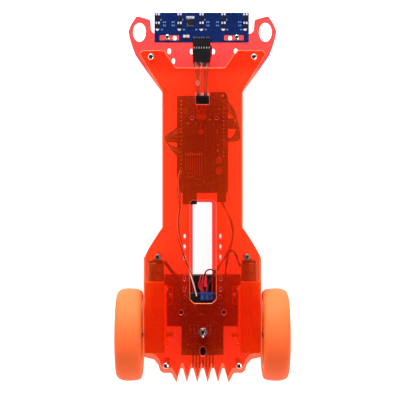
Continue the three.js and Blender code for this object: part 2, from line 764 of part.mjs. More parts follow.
// The lever is turned about its ball, whose centre is its origin.
function switchLever() {
  const profile = [
    [0, -1.6],
    [1.2, -1.2],
    [1.6, 0],
    [1.05, 1.4],
    [1.05, 9],
    [1.5, 12.4],
    [1.1, 13.6],
    [0, 14],
  ];
  return turned(profile, 12);
}

add("switch_body", switchBody(), BLACK, [SWITCH_X, SWITCH_Y, 0]);
add("switch_nut", switchNut(), STEEL, [SWITCH_X, SWITCH_Y, 0]);
const lever = add("switch_lever", switchLever(), STEEL, [SWITCH_X, SWITCH_Y, LEVER_PIVOT_Z]);
lever.rotation.x = LEVER_TILT;

// ---- Ball caster ----
// The cup closes past the ball's equator, so the ball can't fall out.
function casterCup() {
  const clear = BALL_R + GAP;
  const lip = 3.4;
  const profile = [[0, LOWER_Z - GAP - BALL_R], [10.6, LOWER_Z - GAP - BALL_R], [10.6, -lip]];
  const start = Math.asin(-lip / clear);
  const steps = 6;
  for (let i = 0; i <= steps; i += 1) {
    const angle = start + ((Math.PI / 2 - start) * i) / steps;
    profile.push([clear * Math.cos(angle) * (i < steps ? 1 : 0), clear * Math.sin(angle) + 0.2]);
  }
  return turned(profile.reverse(), 16);
}

add("caster_cup", casterCup(), STEEL, [0, CASTER_Y, BALL_R]);
const ball = add("caster_ball", new THREE.SphereGeometry(BALL_R, 16, 10), STEEL, [0, CASTER_Y, BALL_R]);
ball.rotation.x = Math.PI / 2;

// ---- Cables ----
const SENSOR_CABLE = [
  [SENSOR_X, 136.9, 37.6],
  [SENSOR_X, 130, 38],
  [SENSOR_X + 0.2, 121, 42],
  [SENSOR_X + 1.2, 112, 48],
  [SENSOR_X + 2, 106, 51],
  [SENSOR_X + 2.2, 101.4, 52],
];
const CONTROL_CABLE = [
  [-21.6, 25.6, 47],
  [-24.2, 16, 47],
  [-24, 3, 47],
  [-22.4, -9, 46],
  [-24.2, -22, 45],
  [-24.6, -34, 44.4],
  [-22.8, -46, 44],
  [-19.2, -59, 44],
  [-15.4, -71, 44],
  [-12, -80, 44],
  [-9, -91.4, 44.4],
  [-6.6, -103, 44.6],
];
const POWER_CABLE = [
  [19.6, -7.4, 48],
  [24, -15, 47.6],
  [29.4, -26, 46.6],
  [31.2, -37, 46],
  [29.4, -49, 46],
  [24.4, -60.6, 46],
  [18.6, -70, 46],
  [12, -80, 45.6],
  [6.4, -90, 45],
  [4.6, -98.3, 44.8],
];
const RIGHT_MOTOR_CABLE = [
  [38.2, -72, 50],
  [35.4, -64, 51],
  [31.6, -56.6, 52],
  [27.4, -57.4, 52],
  [25, -66, 51],
  [23.6, -80, 48],
  [24.6, -96, 45.4],
  [24.2, -109, 44.8],
  [21.9, -114.2, 44.8],
];
const LEFT_MOTOR_CABLE = [
  [-38.3, -67, 50],
  [-36, -70.6, 51],
  [-32.4, -75.4, 51],
  [-28, -81, 50],
  [-24.8, -88, 48.4],
  [-23.6, -97, 46],
  [-24.4, -109, 44.8],
  [-21.9, -114.2, 44.8],
];
add("sensor_cable", cable(SENSOR_CABLE, 2.1, 12), WIRE);
add("control_cable", cable(CONTROL_CABLE, 1.6, 26), WIRE);
add("power_cable", cable(POWER_CABLE, 1.5, 24), WIRE);
add("motor_cable_right", cable(RIGHT_MOTOR_CABLE, 1.2, 22), WIRE);
add("motor_cable_left", cable(LEFT_MOTOR_CABLE, 1.2, 22), WIRE);

export default car;
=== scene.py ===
"""A two-wheeled robot car of clear acrylic plates, seen from straight above its top plate."""

import math
import random

import bmesh
import bpy
from mathutils import Matrix, Vector


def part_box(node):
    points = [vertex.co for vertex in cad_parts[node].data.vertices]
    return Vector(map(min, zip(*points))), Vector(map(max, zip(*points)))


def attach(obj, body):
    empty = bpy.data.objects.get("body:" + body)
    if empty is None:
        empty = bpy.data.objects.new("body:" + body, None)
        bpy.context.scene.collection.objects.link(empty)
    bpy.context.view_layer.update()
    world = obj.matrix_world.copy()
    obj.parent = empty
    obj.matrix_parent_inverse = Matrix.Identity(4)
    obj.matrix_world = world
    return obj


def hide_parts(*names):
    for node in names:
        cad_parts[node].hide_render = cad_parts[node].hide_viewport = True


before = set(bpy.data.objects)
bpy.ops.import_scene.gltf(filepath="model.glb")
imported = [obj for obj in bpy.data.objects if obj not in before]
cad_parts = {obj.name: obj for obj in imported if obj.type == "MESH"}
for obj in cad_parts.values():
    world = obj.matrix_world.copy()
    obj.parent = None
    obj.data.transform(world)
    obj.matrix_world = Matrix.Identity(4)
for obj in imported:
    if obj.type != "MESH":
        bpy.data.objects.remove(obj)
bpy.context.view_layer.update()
MM = 0.001
TURN = 2 * math.pi
SIDES = {"left": -1, "right": 1}


def span(node):
    """Lowest and highest corner of a CAD node, in millimetres."""
    low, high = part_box(node)
    return low / MM, high / MM


def middle(node):
    low, high = span(node)
    return (low + high) / 2


# Undersides and roofs of the two plates
LOWER_FOOT, LOWER_ROOF = (corner.z for corner in span("lower_plate"))
TOP_FOOT, TOP_ROOF = (corner.z for corner in span("top_plate"))

# ---- Camera, light and backdrop ----
CAMERA_AT = (-2.5, -4.6, 1169)
FIELD = 400  # millimetres across the picture at the top plate
SENSOR = 36  # width of the camera's sensor


def make_camera():
    data = bpy.data.cameras.new("camera")
    data.sensor_width = SENSOR
    data.lens = SENSOR * (CAMERA_AT[2] - TOP_ROOF) / FIELD
    data.clip_start = 0.01
    camera = bpy.data.objects.new("camera", data)
    camera.location = Vector(CAMERA_AT) * MM
    bpy.context.scene.collection.objects.link(camera)
    bpy.context.scene.camera = camera


def make_lamp(name, place, size, power, aim=(0, 0, 40)):
    data = bpy.data.lights.new(name, "AREA")
    data.shape = "RECTANGLE"
    data.size, data.size_y = size
    data.energy = power
    lamp = bpy.data.objects.new(name, data)
    lamp.location = Vector(place) * MM
    lamp.rotation_mode = "QUATERNION"
    lamp.rotation_quaternion = (Vector(aim) - Vector(place)).to_track_quat("-Z", "Y")
    bpy.context.scene.collection.objects.link(lamp)


def make_light():
    make_lamp("window", (-150, 1300, 620), (1.2, 0.7), 40)
    make_lamp("overhead", (500, -200, 1500), (0.5, 0.5), 5)
    make_world()
    bpy.context.scene.view_settings.view_transform = "Standard"


def make_world():
    """A white room that is bright round its walls and dim at its ceiling."""
    world = bpy.data.worlds.new("studio")
    world.use_nodes = True
    tree = world.node_tree
    place = tree.nodes.new("ShaderNodeTexCoord")
    parts = tree.nodes.new("ShaderNodeSeparateXYZ")
    level = tree.nodes.new("ShaderNodeMapRange")
    tree.links.new(place.outputs["Generated"], parts.inputs[0])
    tree.links.new(parts.outputs["Z"], level.inputs["Value"])
    for name, value in (("From Min", 0.15), ("From Max", 0.95), ("To Min", 0.8), ("To Max", 0.12)):
        level.inputs[name].default_value = value
    back = tree.nodes["Background"]
    back.inputs["Color"].default_value = (1, 1, 1, 1)
    tree.links.new(level.outputs[0], back.inputs["Strength"])
    bpy.context.scene.world = world


# ---- Materials ----
class Look:
    """A material made of nodes. put adds one node and links or sets its inputs."""

    def __init__(self, name):
        self.material = bpy.data.materials.new(name)
        self.material.use_nodes = True
        self.tree = self.material.node_tree
        self.tree.nodes.clear()
        self.where = self.put("ShaderNodeTexCoord").outputs["Object"]

    def put(self, kind, inputs=None, **settings):
        made = self.tree.nodes.new(kind)
        for key, value in settings.items():
            setattr(made, key, value)
        for key, value in (inputs or {}).items():
            socket = made.inputs[key]
            if isinstance(value, bpy.types.NodeSocket):
                self.tree.links.new(value, socket)
            else:
                socket.default_value = value
        return made

    def noise(self, scale, detail=3.0, stretch=(1, 1, 1)):
        place = self.put("ShaderNodeMapping", {"Vector": self.where, "Scale": stretch})
        inputs = {"Vector": place.outputs[0], "Scale": scale, "Detail": detail}
        return self.put("ShaderNodeTexNoise", inputs).outputs["Fac"]

    def between(self, share, low, high):
        """A number that goes from low to high as share goes from 0.3 to 0.7."""
        inputs = {"Value": share, "From Min": 0.3, "From Max": 0.7, "To Min": low, "To Max": high}
        return self.put("ShaderNodeMapRange", inputs).outputs[0]

    def mixed(self, share, low, high):
        """A colour that goes from low to high with share."""
        return self.put("ShaderNodeMix", {0: share, 6: low, 7: high}, data_type="RGBA").outputs[2]

    def mottled(self, share, colour, dark, light):
        """A colour that drifts between two shades of itself."""
        return self.mixed(self.between(share, 0, 1), shaded(colour, dark), shaded(colour, light))

    def maths(self, operation, *inputs):
        return self.put("ShaderNodeMath", dict(enumerate(inputs)), operation=operation).outputs[0]

    def bump(self, height, strength, distance=0.0004):
        inputs = {"Height": height, "Strength": strength, "Distance": distance}
        return self.put("ShaderNodeBump", inputs).outputs[0]

    def finish(self, shader):
        self.put("ShaderNodeOutputMaterial", {"Surface": shader.outputs[0]})
        return self.material

    def surface(self, inputs):
        return self.finish(self.put("ShaderNodeBsdfPrincipled", inputs))


def shaded(colour, factor):
    return (*[min(1.0, c * factor) for c in colour], 1.0)


def solid(name, colour, rough, metal=0.0, mottle=0.12, grain=260, bump=0.12, stretch=(1, 1, 1), **extra):
    """A moulded, cast or drawn surface: its colour, roughness and relief vary a little."""
    look = Look(name)
    broad = look.noise(grain / 6, 2, stretch)
    fine = look.noise(grain, 4, stretch)
    tone = look.mottled(broad, colour, 1 - mottle, 1 + mottle)
    inputs = {
        "Base Color": tone,
        "Roughness": look.between(fine, rough * 0.85, min(1.0, rough * 1.2)),
        "Metallic": metal,
        "Normal": look.bump(fine, bump),
        **extra,
    }
    return look.surface(inputs)


# Where the lower plate lies bare its tint is deepened, as painted shade: ramping in along its nose, and
# inside its long slot
BARE_NOSE = (124, 134)  # where the lower plate comes out from under the top one
BARE_SLOT = ((0.6, 13.5), (-58.2, 53.4))  # the long slot's middle and half size, across and along


def acrylic(name, through, sheet, glow, bare_shade=None):
    """Clear dyed acrylic. Light crosses it twice, at its top and its underside, so the tint of each
    face is the root of the sheet's. The dye scatters the rest from both sides. A sheet given a bare
    tint has painted shade: it is tinted deeper where no other sheet lies over it, at its nose and
    along its slot, though its dye is the same all over."""
    look = Look(name)
    cloud = look.noise(9, 2)
    scuffs = look.noise(620, 5, (1, 0.06, 1))
    tint = look.mottled(cloud, through, 0.98, 1.0)
    # Painted shade: the tint is deepened where the sheet lies bare; the dye is the same there
    if bare_shade:
        across, along = look.put("ShaderNodeSeparateXYZ", {0: look.where}).outputs[:2]
        start, end = BARE_NOSE
        ramp = {"Value": along, "From Min": start * MM, "From Max": end * MM}
        nose = look.put("ShaderNodeMapRange", ramp).outputs[0]
        inside = [
            look.maths("COMPARE", place, centre * MM, half * MM)
            for place, (centre, half) in zip((across, along), BARE_SLOT)
        ]
        share = look.maths("MAXIMUM", nose, look.maths("MULTIPLY", *inside))
        tint = look.mixed(share, tint, shaded(bare_shade, 1))
    dye = look.mottled(cloud, sheet, 0.95, 1.03)
    clear = look.put("ShaderNodeBsdfTransparent", {"Color": tint})
    surface = {
        "Base Color": dye,
        "Roughness": look.between(scuffs, 0.09, 0.2),
        "Specular IOR Level": 0.12,
        "Normal": look.bump(scuffs, 0.04),
    }
    front = look.put("ShaderNodeBsdfPrincipled", surface)
    back = look.put("ShaderNodeBsdfTranslucent", {"Color": shaded(glow, 1)})
    body = look.put("ShaderNodeMixShader", {0: 0.5, 1: front.outputs[0], 2: back.outputs[0]})
    mixed = look.put("ShaderNodeMixShader", {0: 0.19, 1: clear.outputs[0], 2: body.outputs[0]})
    return look.finish(mixed)


def cut_edge(name, colour, shine):
    """The polished cut edge of dyed acrylic, with a painted glow for the light caught in the sheet that comes
    out there.
    """
    look = Look(name)
    streaks = look.noise(900, 3, (1, 1, 0.05))
    tone = look.mottled(streaks, colour, 0.85, 1.1)
    inputs = {
        "Base Color": tone,
        "Roughness": look.between(streaks, 0.12, 0.3),
        # Painted glow: the edge gives off light in its own tone
        "Emission Color": tone,
        "Emission Strength": shine,
        "Normal": look.bump(streaks, 0.15),
    }
    return look.surface(inputs)


def circuit(name, mask, trace, mark):
    """Solder mask over copper: lighter tracks run in steps between small round vias."""
    look = Look(name)
    bend = look.noise(60, 1)
    warp = look.mixed(0.035, look.where, bend)
    place = look.put("ShaderNodeMapping", {"Vector": warp, "Scale": (1, 1, 0)})
    bricks = {
        "Vector": place.outputs[0],
        "Scale": 1.0,
        "Mortar Size": 0.00022,
        "Mortar Smooth": 0.1,
        "Brick Width": 0.011,
        "Row Height": 0.0021,
        "Color1": (0, 0, 0, 1),
        "Color2": (0, 0, 0, 1),
        "Mortar": (1, 1, 1, 1),
    }
    tracks = look.put("ShaderNodeTexBrick", bricks).outputs["Color"]
    holes = look.put("ShaderNodeTexVoronoi", {"Vector": place.outputs[0], "Scale": 210}).outputs["Distance"]
    vias = look.maths("LESS_THAN", holes, 0.13)
    cloudy = look.mottled(look.noise(90), mask, 0.82, 1.15)
    tracked = look.mixed(tracks, cloudy, shaded(trace, 1))
    tone = look.mixed(vias, tracked, shaded(mark, 1))
    inputs = {
        "Base Color": tone,
        "Roughness": look.between(look.noise(300), 0.28, 0.42),
        "Specular IOR Level": 0.16,
        "Normal": look.bump(tracks, 0.25, 0.0001),
    }
    return look.surface(inputs)


def rubber(name, colour):
    """Matt silicone rubber, dusty in broad patches and finely ribbed along its mould, with a faint painted
    glow in its own tone.
    """
    look = Look(name)
    dust = look.noise(28, 4)
    grain = look.noise(1500, 3)
    tone = look.mottled(dust, colour, 0.94, 1.06)
    inputs = {
        "Base Color": tone,
        "Roughness": look.between(dust, 0.5, 0.66),
        "Specular IOR Level": 0.15,
        # Painted glow: the rubber gives off light in its own tone
        "Emission Color": tone,
        "Emission Strength": 0.2,
        "Normal": look.bump(grain, 0.1, 0.0002),
    }
    return look.surface(inputs)


def make_looks():
    """Every finish on the car, by name."""
    black = (0.007, 0.007, 0.009)
    dull = {"Specular IOR Level": 0.15}
    # A painted glow for the rim's rolled bead: amber light of its own, lifting the hoop inside the wheel
    glow = {"Emission Color": (1.0, 0.17, 0.004, 1), "Emission Strength": 0.2}
    # The pink plate's deeper tint where it lies bare: painted shade, not another dye
    bare_shade = (0.96, 0.25, 0.24)
    return {
        "orange": acrylic("clear_orange", (0.98, 0.47, 0.36), (1.0, 0.02, 0.006), (1.0, 0.42, 0.04)),
        "pink": acrylic("clear_pink", (0.98, 0.45, 0.37), (1.0, 0.03, 0.04), (1.0, 0.08, 0.09), bare_shade),
        "orange_edge": cut_edge("orange_edge", (1.0, 0.17, 0.03), 0.3),
        "pink_edge": cut_edge("pink_edge", (0.85, 0.07, 0.09), 0.15),
        # A darker, dimmer copy of the cut edge for the small holes' walls: painted shade
        "drilled": cut_edge("small_hole_shaded_edge", (0.8, 0.07, 0.05), 0.1),
        "tyre": rubber("orange_silicone", (1.0, 0.13, 0.03)),
        "hub": solid("amber_nylon", (0.8, 0.33, 0.005), 0.38, mottle=0.06),
        "bead": solid("amber_bead_painted_glow", (0.7, 0.2, 0.003), 0.4, mottle=0.06, **glow),
        "yellow": solid("yellow_plastic", (0.74, 0.33, 0.045), 0.4, mottle=0.06),
        "steel": solid("bright_steel", (0.75, 0.75, 0.77), 0.16, 1.0, 0.08, 900, 0.06),
        "plated": solid("nickel_plate", (0.92, 0.92, 0.94), 0.14, 1.0, 0.05, 900, 0.04),
        "can": solid("drawn_steel", (0.19, 0.185, 0.19), 0.32, 1.0, 0.1, 700, 0.1, (1, 0.05, 1)),
        "brass": solid("turned_brass", (0.5, 0.33, 0.13), 0.3, 1.0, 0.1, 900, 0.1, (1, 1, 0.08)),
        "gold": solid("gold_plate", (0.9, 0.62, 0.25), 0.22, 1.0, 0.06, 900, 0.05),
        "solder": solid("solder", (0.6, 0.63, 0.74), 0.4, 0.2, 0.1, 900, 0.2),
        "tin": solid("dull_tin", (0.42, 0.4, 0.38), 0.45, 0.2, 0.15, 900, 0.2),
        "maroon": solid("maroon_sleeve", (0.3, 0.06, 0.05), 0.4),
        "oxblood": solid("oxblood_plastic", (0.13, 0.003, 0.004), 0.5, **dull),
        "mark": solid("pale_print", (0.1, 0.2, 0.42), 0.5),
        # A darker copy of the blue plastic for the side clamp blocks: painted shade
        "shaded_blue": solid("dark_blue_plastic", (0.003, 0.008, 0.05), 0.4, **dull),
        "white": solid("white_ceramic", (0.85, 0.85, 0.83), 0.4, mottle=0.05),
        "beige": solid("beige_ceramic", (0.55, 0.38, 0.22), 0.45),
        "black": solid("black_plastic", black, 0.42, 0.0, 0.3, **dull),
        "chip": solid("moulded_epoxy", (0.007, 0.005, 0.005), 0.6, 0.0, 0.3, 900, 0.3, **dull),
        "anodised": solid("black_anodised", (0.02, 0.02, 0.022), 0.35, 0.6, 0.2, 600),
        "blue": solid("blue_plastic", (0.004, 0.028, 0.22), 0.25, mottle=0.08),
        "red": solid("shrink_film", (0.8, 0.04, 0.09), 0.3, mottle=0.08),
        "ribbon": solid("pull_ribbon", (1.0, 0.035, 0.12), 0.55, grain=1600, bump=0.4, stretch=(1, 0.1, 1)),
        "fibre": solid("board_edge", (0.28, 0.22, 0.1), 0.6, grain=1200, stretch=(1, 1, 6)),
        "navy": circuit("navy_mask", (0.001, 0.01, 0.075), (0.0015, 0.018, 0.115), (0.008, 0.03, 0.17)),
        "teal": circuit("teal_mask", (0.006, 0.012, 0.022), (0.02, 0.03, 0.045), (0.22, 0.14, 0.08)),
        "wire_black": solid("black_lead", (0.015, 0.015, 0.017), 0.5, mottle=0.2),
        "wire_red": solid("red_lead", (0.6, 0.02, 0.02), 0.45),
        "wire_white": solid("white_lead", (0.88, 0.87, 0.86), 0.5, mottle=0.05),
        "wire_brown": solid("brown_lead", (0.16, 0.05, 0.02), 0.5),
        "wire_grey": solid("grey_lead", (0.16, 0.16, 0.18), 0.5),
    }


# ---- Mesh making ----
def ring(centre, radius, sides=24, start=0.0):
    """The corners of a flat ring; radius is one number or a pair."""
    rx, ry = radius if isinstance(radius, tuple) else (radius, radius)
    turns = [start + TURN * i / sides for i in range(sides)]
    return [(centre[0] + rx * math.cos(a), centre[1] + ry * math.sin(a)) for a in turns]


def rounded(points, radius, steps=4):
    """A closed outline with each corner rounded, by no more than its edges allow."""
    made = []
    count = len(points)
    for i, here in enumerate(points):
        here = Vector(here)
        back, ahead = Vector(points[i - 1]) - here, Vector(points[(i + 1) % count]) - here
        reach = min(radius, back.length * 0.45, ahead.length * 0.45)
        start, end = here + back.normalized() * reach, here + ahead.normalized() * reach
        for k in range(steps + 1):
            t = k / steps
            made.append(tuple((1 - t) ** 2 * start + 2 * t * (1 - t) * here + t * t * end))
    return made


def rect(low, high, radius=0.4, steps=3):
    (x0, y0), (x1, y1) = low[:2], high[:2]
    return rounded([(x0, y0), (x1, y0), (x1, y1), (x0, y1)], radius, steps)


def inset(outline, distance):
    """The outline moved in by distance, or out where it is negative. The outline runs anticlockwise."""
    made = []
    for i, here in enumerate(outline):
        here = Vector(here)
        before = (here - Vector(outline[i - 1])).normalized()
        after = (Vector(outline[(i + 1) % len(outline)]) - here).normalized()
        normal = Vector((-before.y - after.y, before.x + after.x))
        if normal.length < 1e-6:
            normal = Vector((-after.y, after.x))
        normal.normalize()
        lean = max(0.4, normal.dot(Vector((-after.y, after.x))))
        made.append(tuple(here + normal * distance / lean))
    return made


def is_anticlockwise(outline):
    pairs = zip(outline, outline[1:] + outline[:1])
    return sum(a[0] * b[1] - b[0] * a[1] for a, b in pairs) > 0


def catmull(points, steps=8):
    """A smooth run of points through the given ones."""
    points = [Vector(p) for p in points]
    ends = [points[0] * 2 - points[1], *points, points[-1] * 2 - points[-2]]
    made = []
    for p0, p1, p2, p3 in zip(ends, ends[1:], ends[2:], ends[3:]):
        for k in range(steps):
            t = k / steps
            bend = (2 * p0 - 5 * p1 + 4 * p2 - p3) * t * t + (3 * p1 - p0 - 3 * p2 + p3) * t**3
            made.append((2 * p1 + (p2 - p0) * t + bend) / 2)
    return [*made, points[-1]]


def raised(levels):
    """Rings in space from pairs of a flat outline and its height."""
    return [[(x, y, z) for x, y in points] for points, z in levels]


def eased(outline, low, high, bevel):
    """The rings of an upright wall with eased rims. The bevel is negative round a hole."""
    outline = outline if is_anticlockwise(outline) else outline[::-1]
    small, rim = inset(outline, bevel), abs(bevel)
    return raised([(small, low), (outline, low + rim), (outline, high - rim), (small, high)])


def heading(points, i):
    """The way that a run of points goes at one of them."""
    return (points[min(i + 1, len(points) - 1)] - points[max(i - 1, 0)]).normalized()


SHARP = math.radians(35)  # edges that turn by more than this stay sharp
SMALL_HOLE = 14  # holes narrower than this take the darker hole rim finish, which is painted shade


class Shape:
    """Faces in millimetres, gathered into one piece. Each call's points go through the matrix in at.
    A face has the shape's first finish, unless the call names another."""

    def __init__(self, looks, at=None):
        self.bm = bmesh.new()
        self.looks = looks.split()
        self.at = Matrix.Identity(4) if at is None else at

    def loop(self, points):
        return [self.bm.verts.new(self.at @ Vector(p)) for p in points]

    def number(self, look):
        return self.looks.index(look) if look else 0

    def face(self, corners, look):
        self.bm.faces.new(corners).material_index = self.number(look)

    def skin(self, a, b, look):
        """Faces between two rings with equal counts, or from a ring to one point."""
        for i in range(max(len(a), len(b))):
            j = i + 1
            quad = [a[i % len(a)], a[j % len(a)], b[j % len(b)], b[i % len(b)]]
            self.face(list(dict.fromkeys(quad)), look)

    def fill(self, loops, look, way=1):
        """A flat face inside the first ring and outside the others."""
        edges = [self.bm.edges.get(pair) for ends in loops for pair in zip(ends, ends[1:] + ends[:1])]
        filled = bmesh.ops.triangle_fill(
            self.bm, use_beauty=True, use_dissolve=False, edges=edges, normal=(0, 0, way)
        )
        for made in filled["geom"]:
            if isinstance(made, bmesh.types.BMFace):
                made.material_index = self.number(look)

    def loft(self, loops, look=None, caps=(True, True)):
        """Skins a run of rings. A ring of one point closes to a tip."""
        rings = [self.loop(points) for points in loops]
        for a, b in zip(rings, rings[1:]):
            self.skin(a, b, look)
        for cap, points in zip(caps, (rings[0], rings[-1])):
            if cap and len(points) > 2:
                self.face(points, look)
        return rings

    def slab(self, outline, low, high, bevel=0.15, look=None):
        """An outline given thickness, with its rims eased."""
        self.loft(eased(outline, low, high, bevel), look)

    def block(self, start, end, bevel=0.2, look=None):
        """A box with eased edges between two opposite corners."""
        low, high = (tuple(map(pick, start, end)) for pick in (min, max))
        self.slab(rect(low, high, max(bevel, 0.05) * 1.6), low[2], high[2], bevel, look)

    def sheet(self, outline, holes, low, high, bevel, look=None, edge=None, drilled=None):
        """A flat sheet with holes. Its walls and eased rims take the edge finish, where one is given,
        or in a small hole the hole rim shade finish, a darker copy that paints shade on its narrow walls."""
        edge = edge or look
        top, bottom = [], []
        for i, points in enumerate([outline, *holes]):
            width = max(x for x, y in points) - min(x for x, y in points)
            finish = drilled if drilled and width < SMALL_HOLE else edge
            rings = self.loft(eased(points, low, high, -bevel if i else bevel), finish, (False, False))
            bottom.append(rings[0])
            top.append(rings[-1])
        self.fill(top, look)
        self.fill(bottom, look, -1)

    def turned(self, profile, sides=32, look=None):
        """A profile of (radius, height) turned about the local Z axis."""
        loops = raised([(ring((0, 0), r, sides) if r > 0 else [(0, 0)], h) for r, h in profile])
        closed = profile[0] == profile[-1]
        rings = self.loft(loops[:-1] if closed else loops, look, (not closed, not closed))
        if closed:
            self.skin(rings[-1], rings[0], look)

    def bar(self, start, end, radius, sides=16, look=None, ease=0.1):
        """A round bar between two points, with eased ends."""
        start, end = Vector(start), Vector(end)
        keep = self.at
        way = (end - start).to_track_quat("Z", "Y").to_matrix().to_4x4()
        self.at = keep @ Matrix.Translation(start) @ way
        length = (end - start).length
        profile = [(radius - ease, 0), (radius, ease), (radius, length - ease), (radius - ease, length)]
        self.turned(profile, sides, look)
        self.at = keep

    def tube(self, points, radius, sides=10, look=None):
        """A round wire along a smooth run of points."""
        points = [Vector(p) for p in points]
        side = Vector((0.31, 0.17, 0.94))
        loops = []
        for i, here in enumerate(points):
            way = heading(points, i)
            side = (side - way * side.dot(way)).normalized()
            up = way.cross(side)
            loops.append([here + side * x + up * y for x, y in ring((0, 0), radius, sides)])
        self.loft(loops, look)

    def piece(self, name, slot, *stands_for, body="chassis"):
        """Ends the shape: one named object in metres that rides on a body and stands for CAD nodes."""
        bmesh.ops.remove_doubles(self.bm, verts=self.bm.verts, dist=1e-5)
        bmesh.ops.recalc_face_normals(self.bm, faces=self.bm.faces)
        bmesh.ops.scale(self.bm, vec=(MM, MM, MM), verts=self.bm.verts)
        mesh = bpy.data.meshes.new(name)
        self.bm.to_mesh(mesh)
        self.bm.free()
        for face in mesh.polygons:
            face.use_smooth = True
        mesh.set_sharp_from_angle(angle=SHARP)
        for look in self.looks:
            mesh.materials.append(LOOKS[look])
        made = bpy.data.objects.new(name, mesh)
        bpy.context.scene.collection.objects.link(made)
        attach(made, body)
        if stands_for:
            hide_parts(*stands_for)
        return made


LOOKS = make_looks()
# Local x, y and z lie along Y, Z and X here, and along X, Z and Y in the next one
ALONG_X = Matrix(((0, 0, 1, 0), (1, 0, 0, 0), (0, 1, 0, 0), (0, 0, 0, 1)))
ALONG_Y = Matrix(((1, 0, 0, 0), (0, 0, 1, 0), (0, 1, 0, 0), (0, 0, 0, 1)))


def placed(x, y, z, turn=0.0, way=1):
    """A place in the part's frame, turned about Z, and upside down where way is -1."""
    spin = Matrix.Rotation(turn, 4, "Z")
    return Matrix.Translation((x, y, z)) @ spin @ Matrix.Diagonal((1, 1, way, 1))


def quarter(sign, axis="Y"):
    return Matrix.Rotation(sign * math.pi / 2, 4, axis)


def mirror(points):
    return [(-x, y) for x, y in reversed(points)]


# ---- Plates ----
SWITCH_AT = (0.4, -136.6)
POSTS = {"front": (51.5, 138.4), "middle": (44.6, -61.6), "rear": (36.6, -170.3)}
FLANK = [
    (40.4, 105), (40.4, -32.5), (43.6, -36.5), (54, -53), (59, -63), (59, -160), (58, -161.8),
    (48.5, -164), (44, -169.6), (42.6, -175), (39.6, -177.6), (31.2, -177.6),
]
EAR = [
    (50.2, 167.3), (52.9, 170.3), (53.7, 181.2), (61, 183.6), (68, 185.2), (73.8, 176.4),
    (76.4, 169.6), (75.2, 162.4), (72, 152), (69, 144.4), (57.3, 127.5),
]
RIGHT_HORN = [(22.2, 127.6), (34.6, 145), (60.6, 145), (63, 141.4)]
LEFT_HORN = [(-63, 141.4), (-60.6, 145), (-39, 145), (-26.6, 127.6)]


def comb():
    """Six pointed teeth from right to left, with round notches between them."""
    pitch, notch, steps = 10.4, 5.2, 6
    points = []
    for tooth in range(6):
        x = (2.5 - tooth) * pitch
        points.append((x, -187.4))
        for k in range(steps + 1 if tooth < 5 else 0):
            share = 0.55 - 1.1 * k / steps
            rise = math.sqrt(1 - share * share) * notch
            points.append((x - notch + share * notch / 2, -178 + rise))
    return points


OVAL_ROWS = (0, 1, 2, 4, 5)  # the fourth place in each column has no hole
BEVEL = 0.35


def shared_holes():
    """The ovals beside the long slot and the screw holes, which go through both plates."""
    sides = (-1, 1)
    ovals = [ring((side * 18.1, -41.3 - row * 10.45), (1.25, 2.4)) for row in OVAL_ROWS for side in sides]
    return ovals + [ring((side * x, y), 1.75) for x, y in POSTS.values() for side in sides]


def make_plates():
    tail = [*FLANK, *comb(), *mirror(FLANK)]
    upper = rounded([*RIGHT_HORN, *tail, *LEFT_HORN], 1.1, 2)
    cx, half, front, rear = 0.5, 13.1, -4.8, -108
    edge = cx + half
    right = [(edge - 4, rear), (edge, rear + 4), (edge, front - 2.5), (edge - 2.5, front)]
    slot = [*right, *[(2 * cx - x, y) for x, y in reversed(right)]]
    holes = [
        rounded(slot, 0.8, 2),
        rect((-6.9, 91), (6.7, 103), 0.8),
        ring((-4.8, 112.8), (1.7, 2.5)),
        ring((-10.5, 77.4), 1.5),
        ring((14.1, 77.4), 1.5),
        *[ring((side * 21.3, -117.2), (1.9, 2.4)) for side in (-1, 1)],
        ring((0.4, -156.1), (3.2, 4.8), 32),
        ring(SWITCH_AT, 3.3, 32),
    ]
    top = Shape("orange orange_edge drilled")
    holes += shared_holes()
    top.sheet(upper, holes, TOP_FOOT, TOP_ROOF, BEVEL, edge="orange_edge", drilled="drilled")
    top.piece("acrylic_top_plate", "acrylic_orange", "top_plate")

    lower = rounded([*EAR, *tail, *mirror(EAR)], 1.1, 2)
    small = [(34.4, 149, 2, 3), (11, 148.7, 2, 3), (28.6, 162.6, 2, 2.4)]
    holes = [ring((side * 65, 168.6), (6.6, 9.8), 40) for side in (-1, 1)]
    holes += [ring((side * x, y), (rx, ry)) for x, y, rx, ry in small for side in (-1, 1)]
    holes += [ring((-30, 138.8), (1.8, 3)), rect((-9.9, -107.9), (9.9, -6.9), 2, 5)]
    under = Shape("pink pink_edge")
    under.sheet(lower, [*holes, *shared_holes()], LOWER_FOOT, LOWER_ROOF, BEVEL, edge="pink_edge")
    under.piece("acrylic_lower_plate", "acrylic_pink", "lower_plate")


# ---- Screws and standoffs ----
def cross(arm, width):
    """The outline of a cross, from one corner turned four times."""
    points = []
    for turn in range(4):
        c, s = (1, 0, -1, 0)[turn], (0, 1, 0, -1)[turn]
        points += [(x * c - y * s, x * s + y * c) for x, y in ((arm, width), (width, width), (width, arm))]
    return points


def screw_head(shape, radius, height, look=None, well=None):
    """A pan head with a cross recess, standing on the local origin."""
    dome = [(1, 0), (1, 0.2), (0.97, 0.45), (0.9, 0.7), (0.8, 0.9), (0.7, 1)]
    levels = [(ring((0, 0), r * radius, 32), h * height) for r, h in dome]
    rings = shape.loft(raised(levels), look, (True, False))
    wide, narrow = cross(radius * 0.52, radius * 0.17), cross(radius * 0.34, radius * 0.12)
    # The recess takes the well finish; where that is the black chip finish, it is painted shade in the cross
    # recess
    recess = shape.loft(raised([(wide, height), (narrow, height * 0.35)]), well, (False, True))
    shape.fill([rings[-1], recess[0]], look)


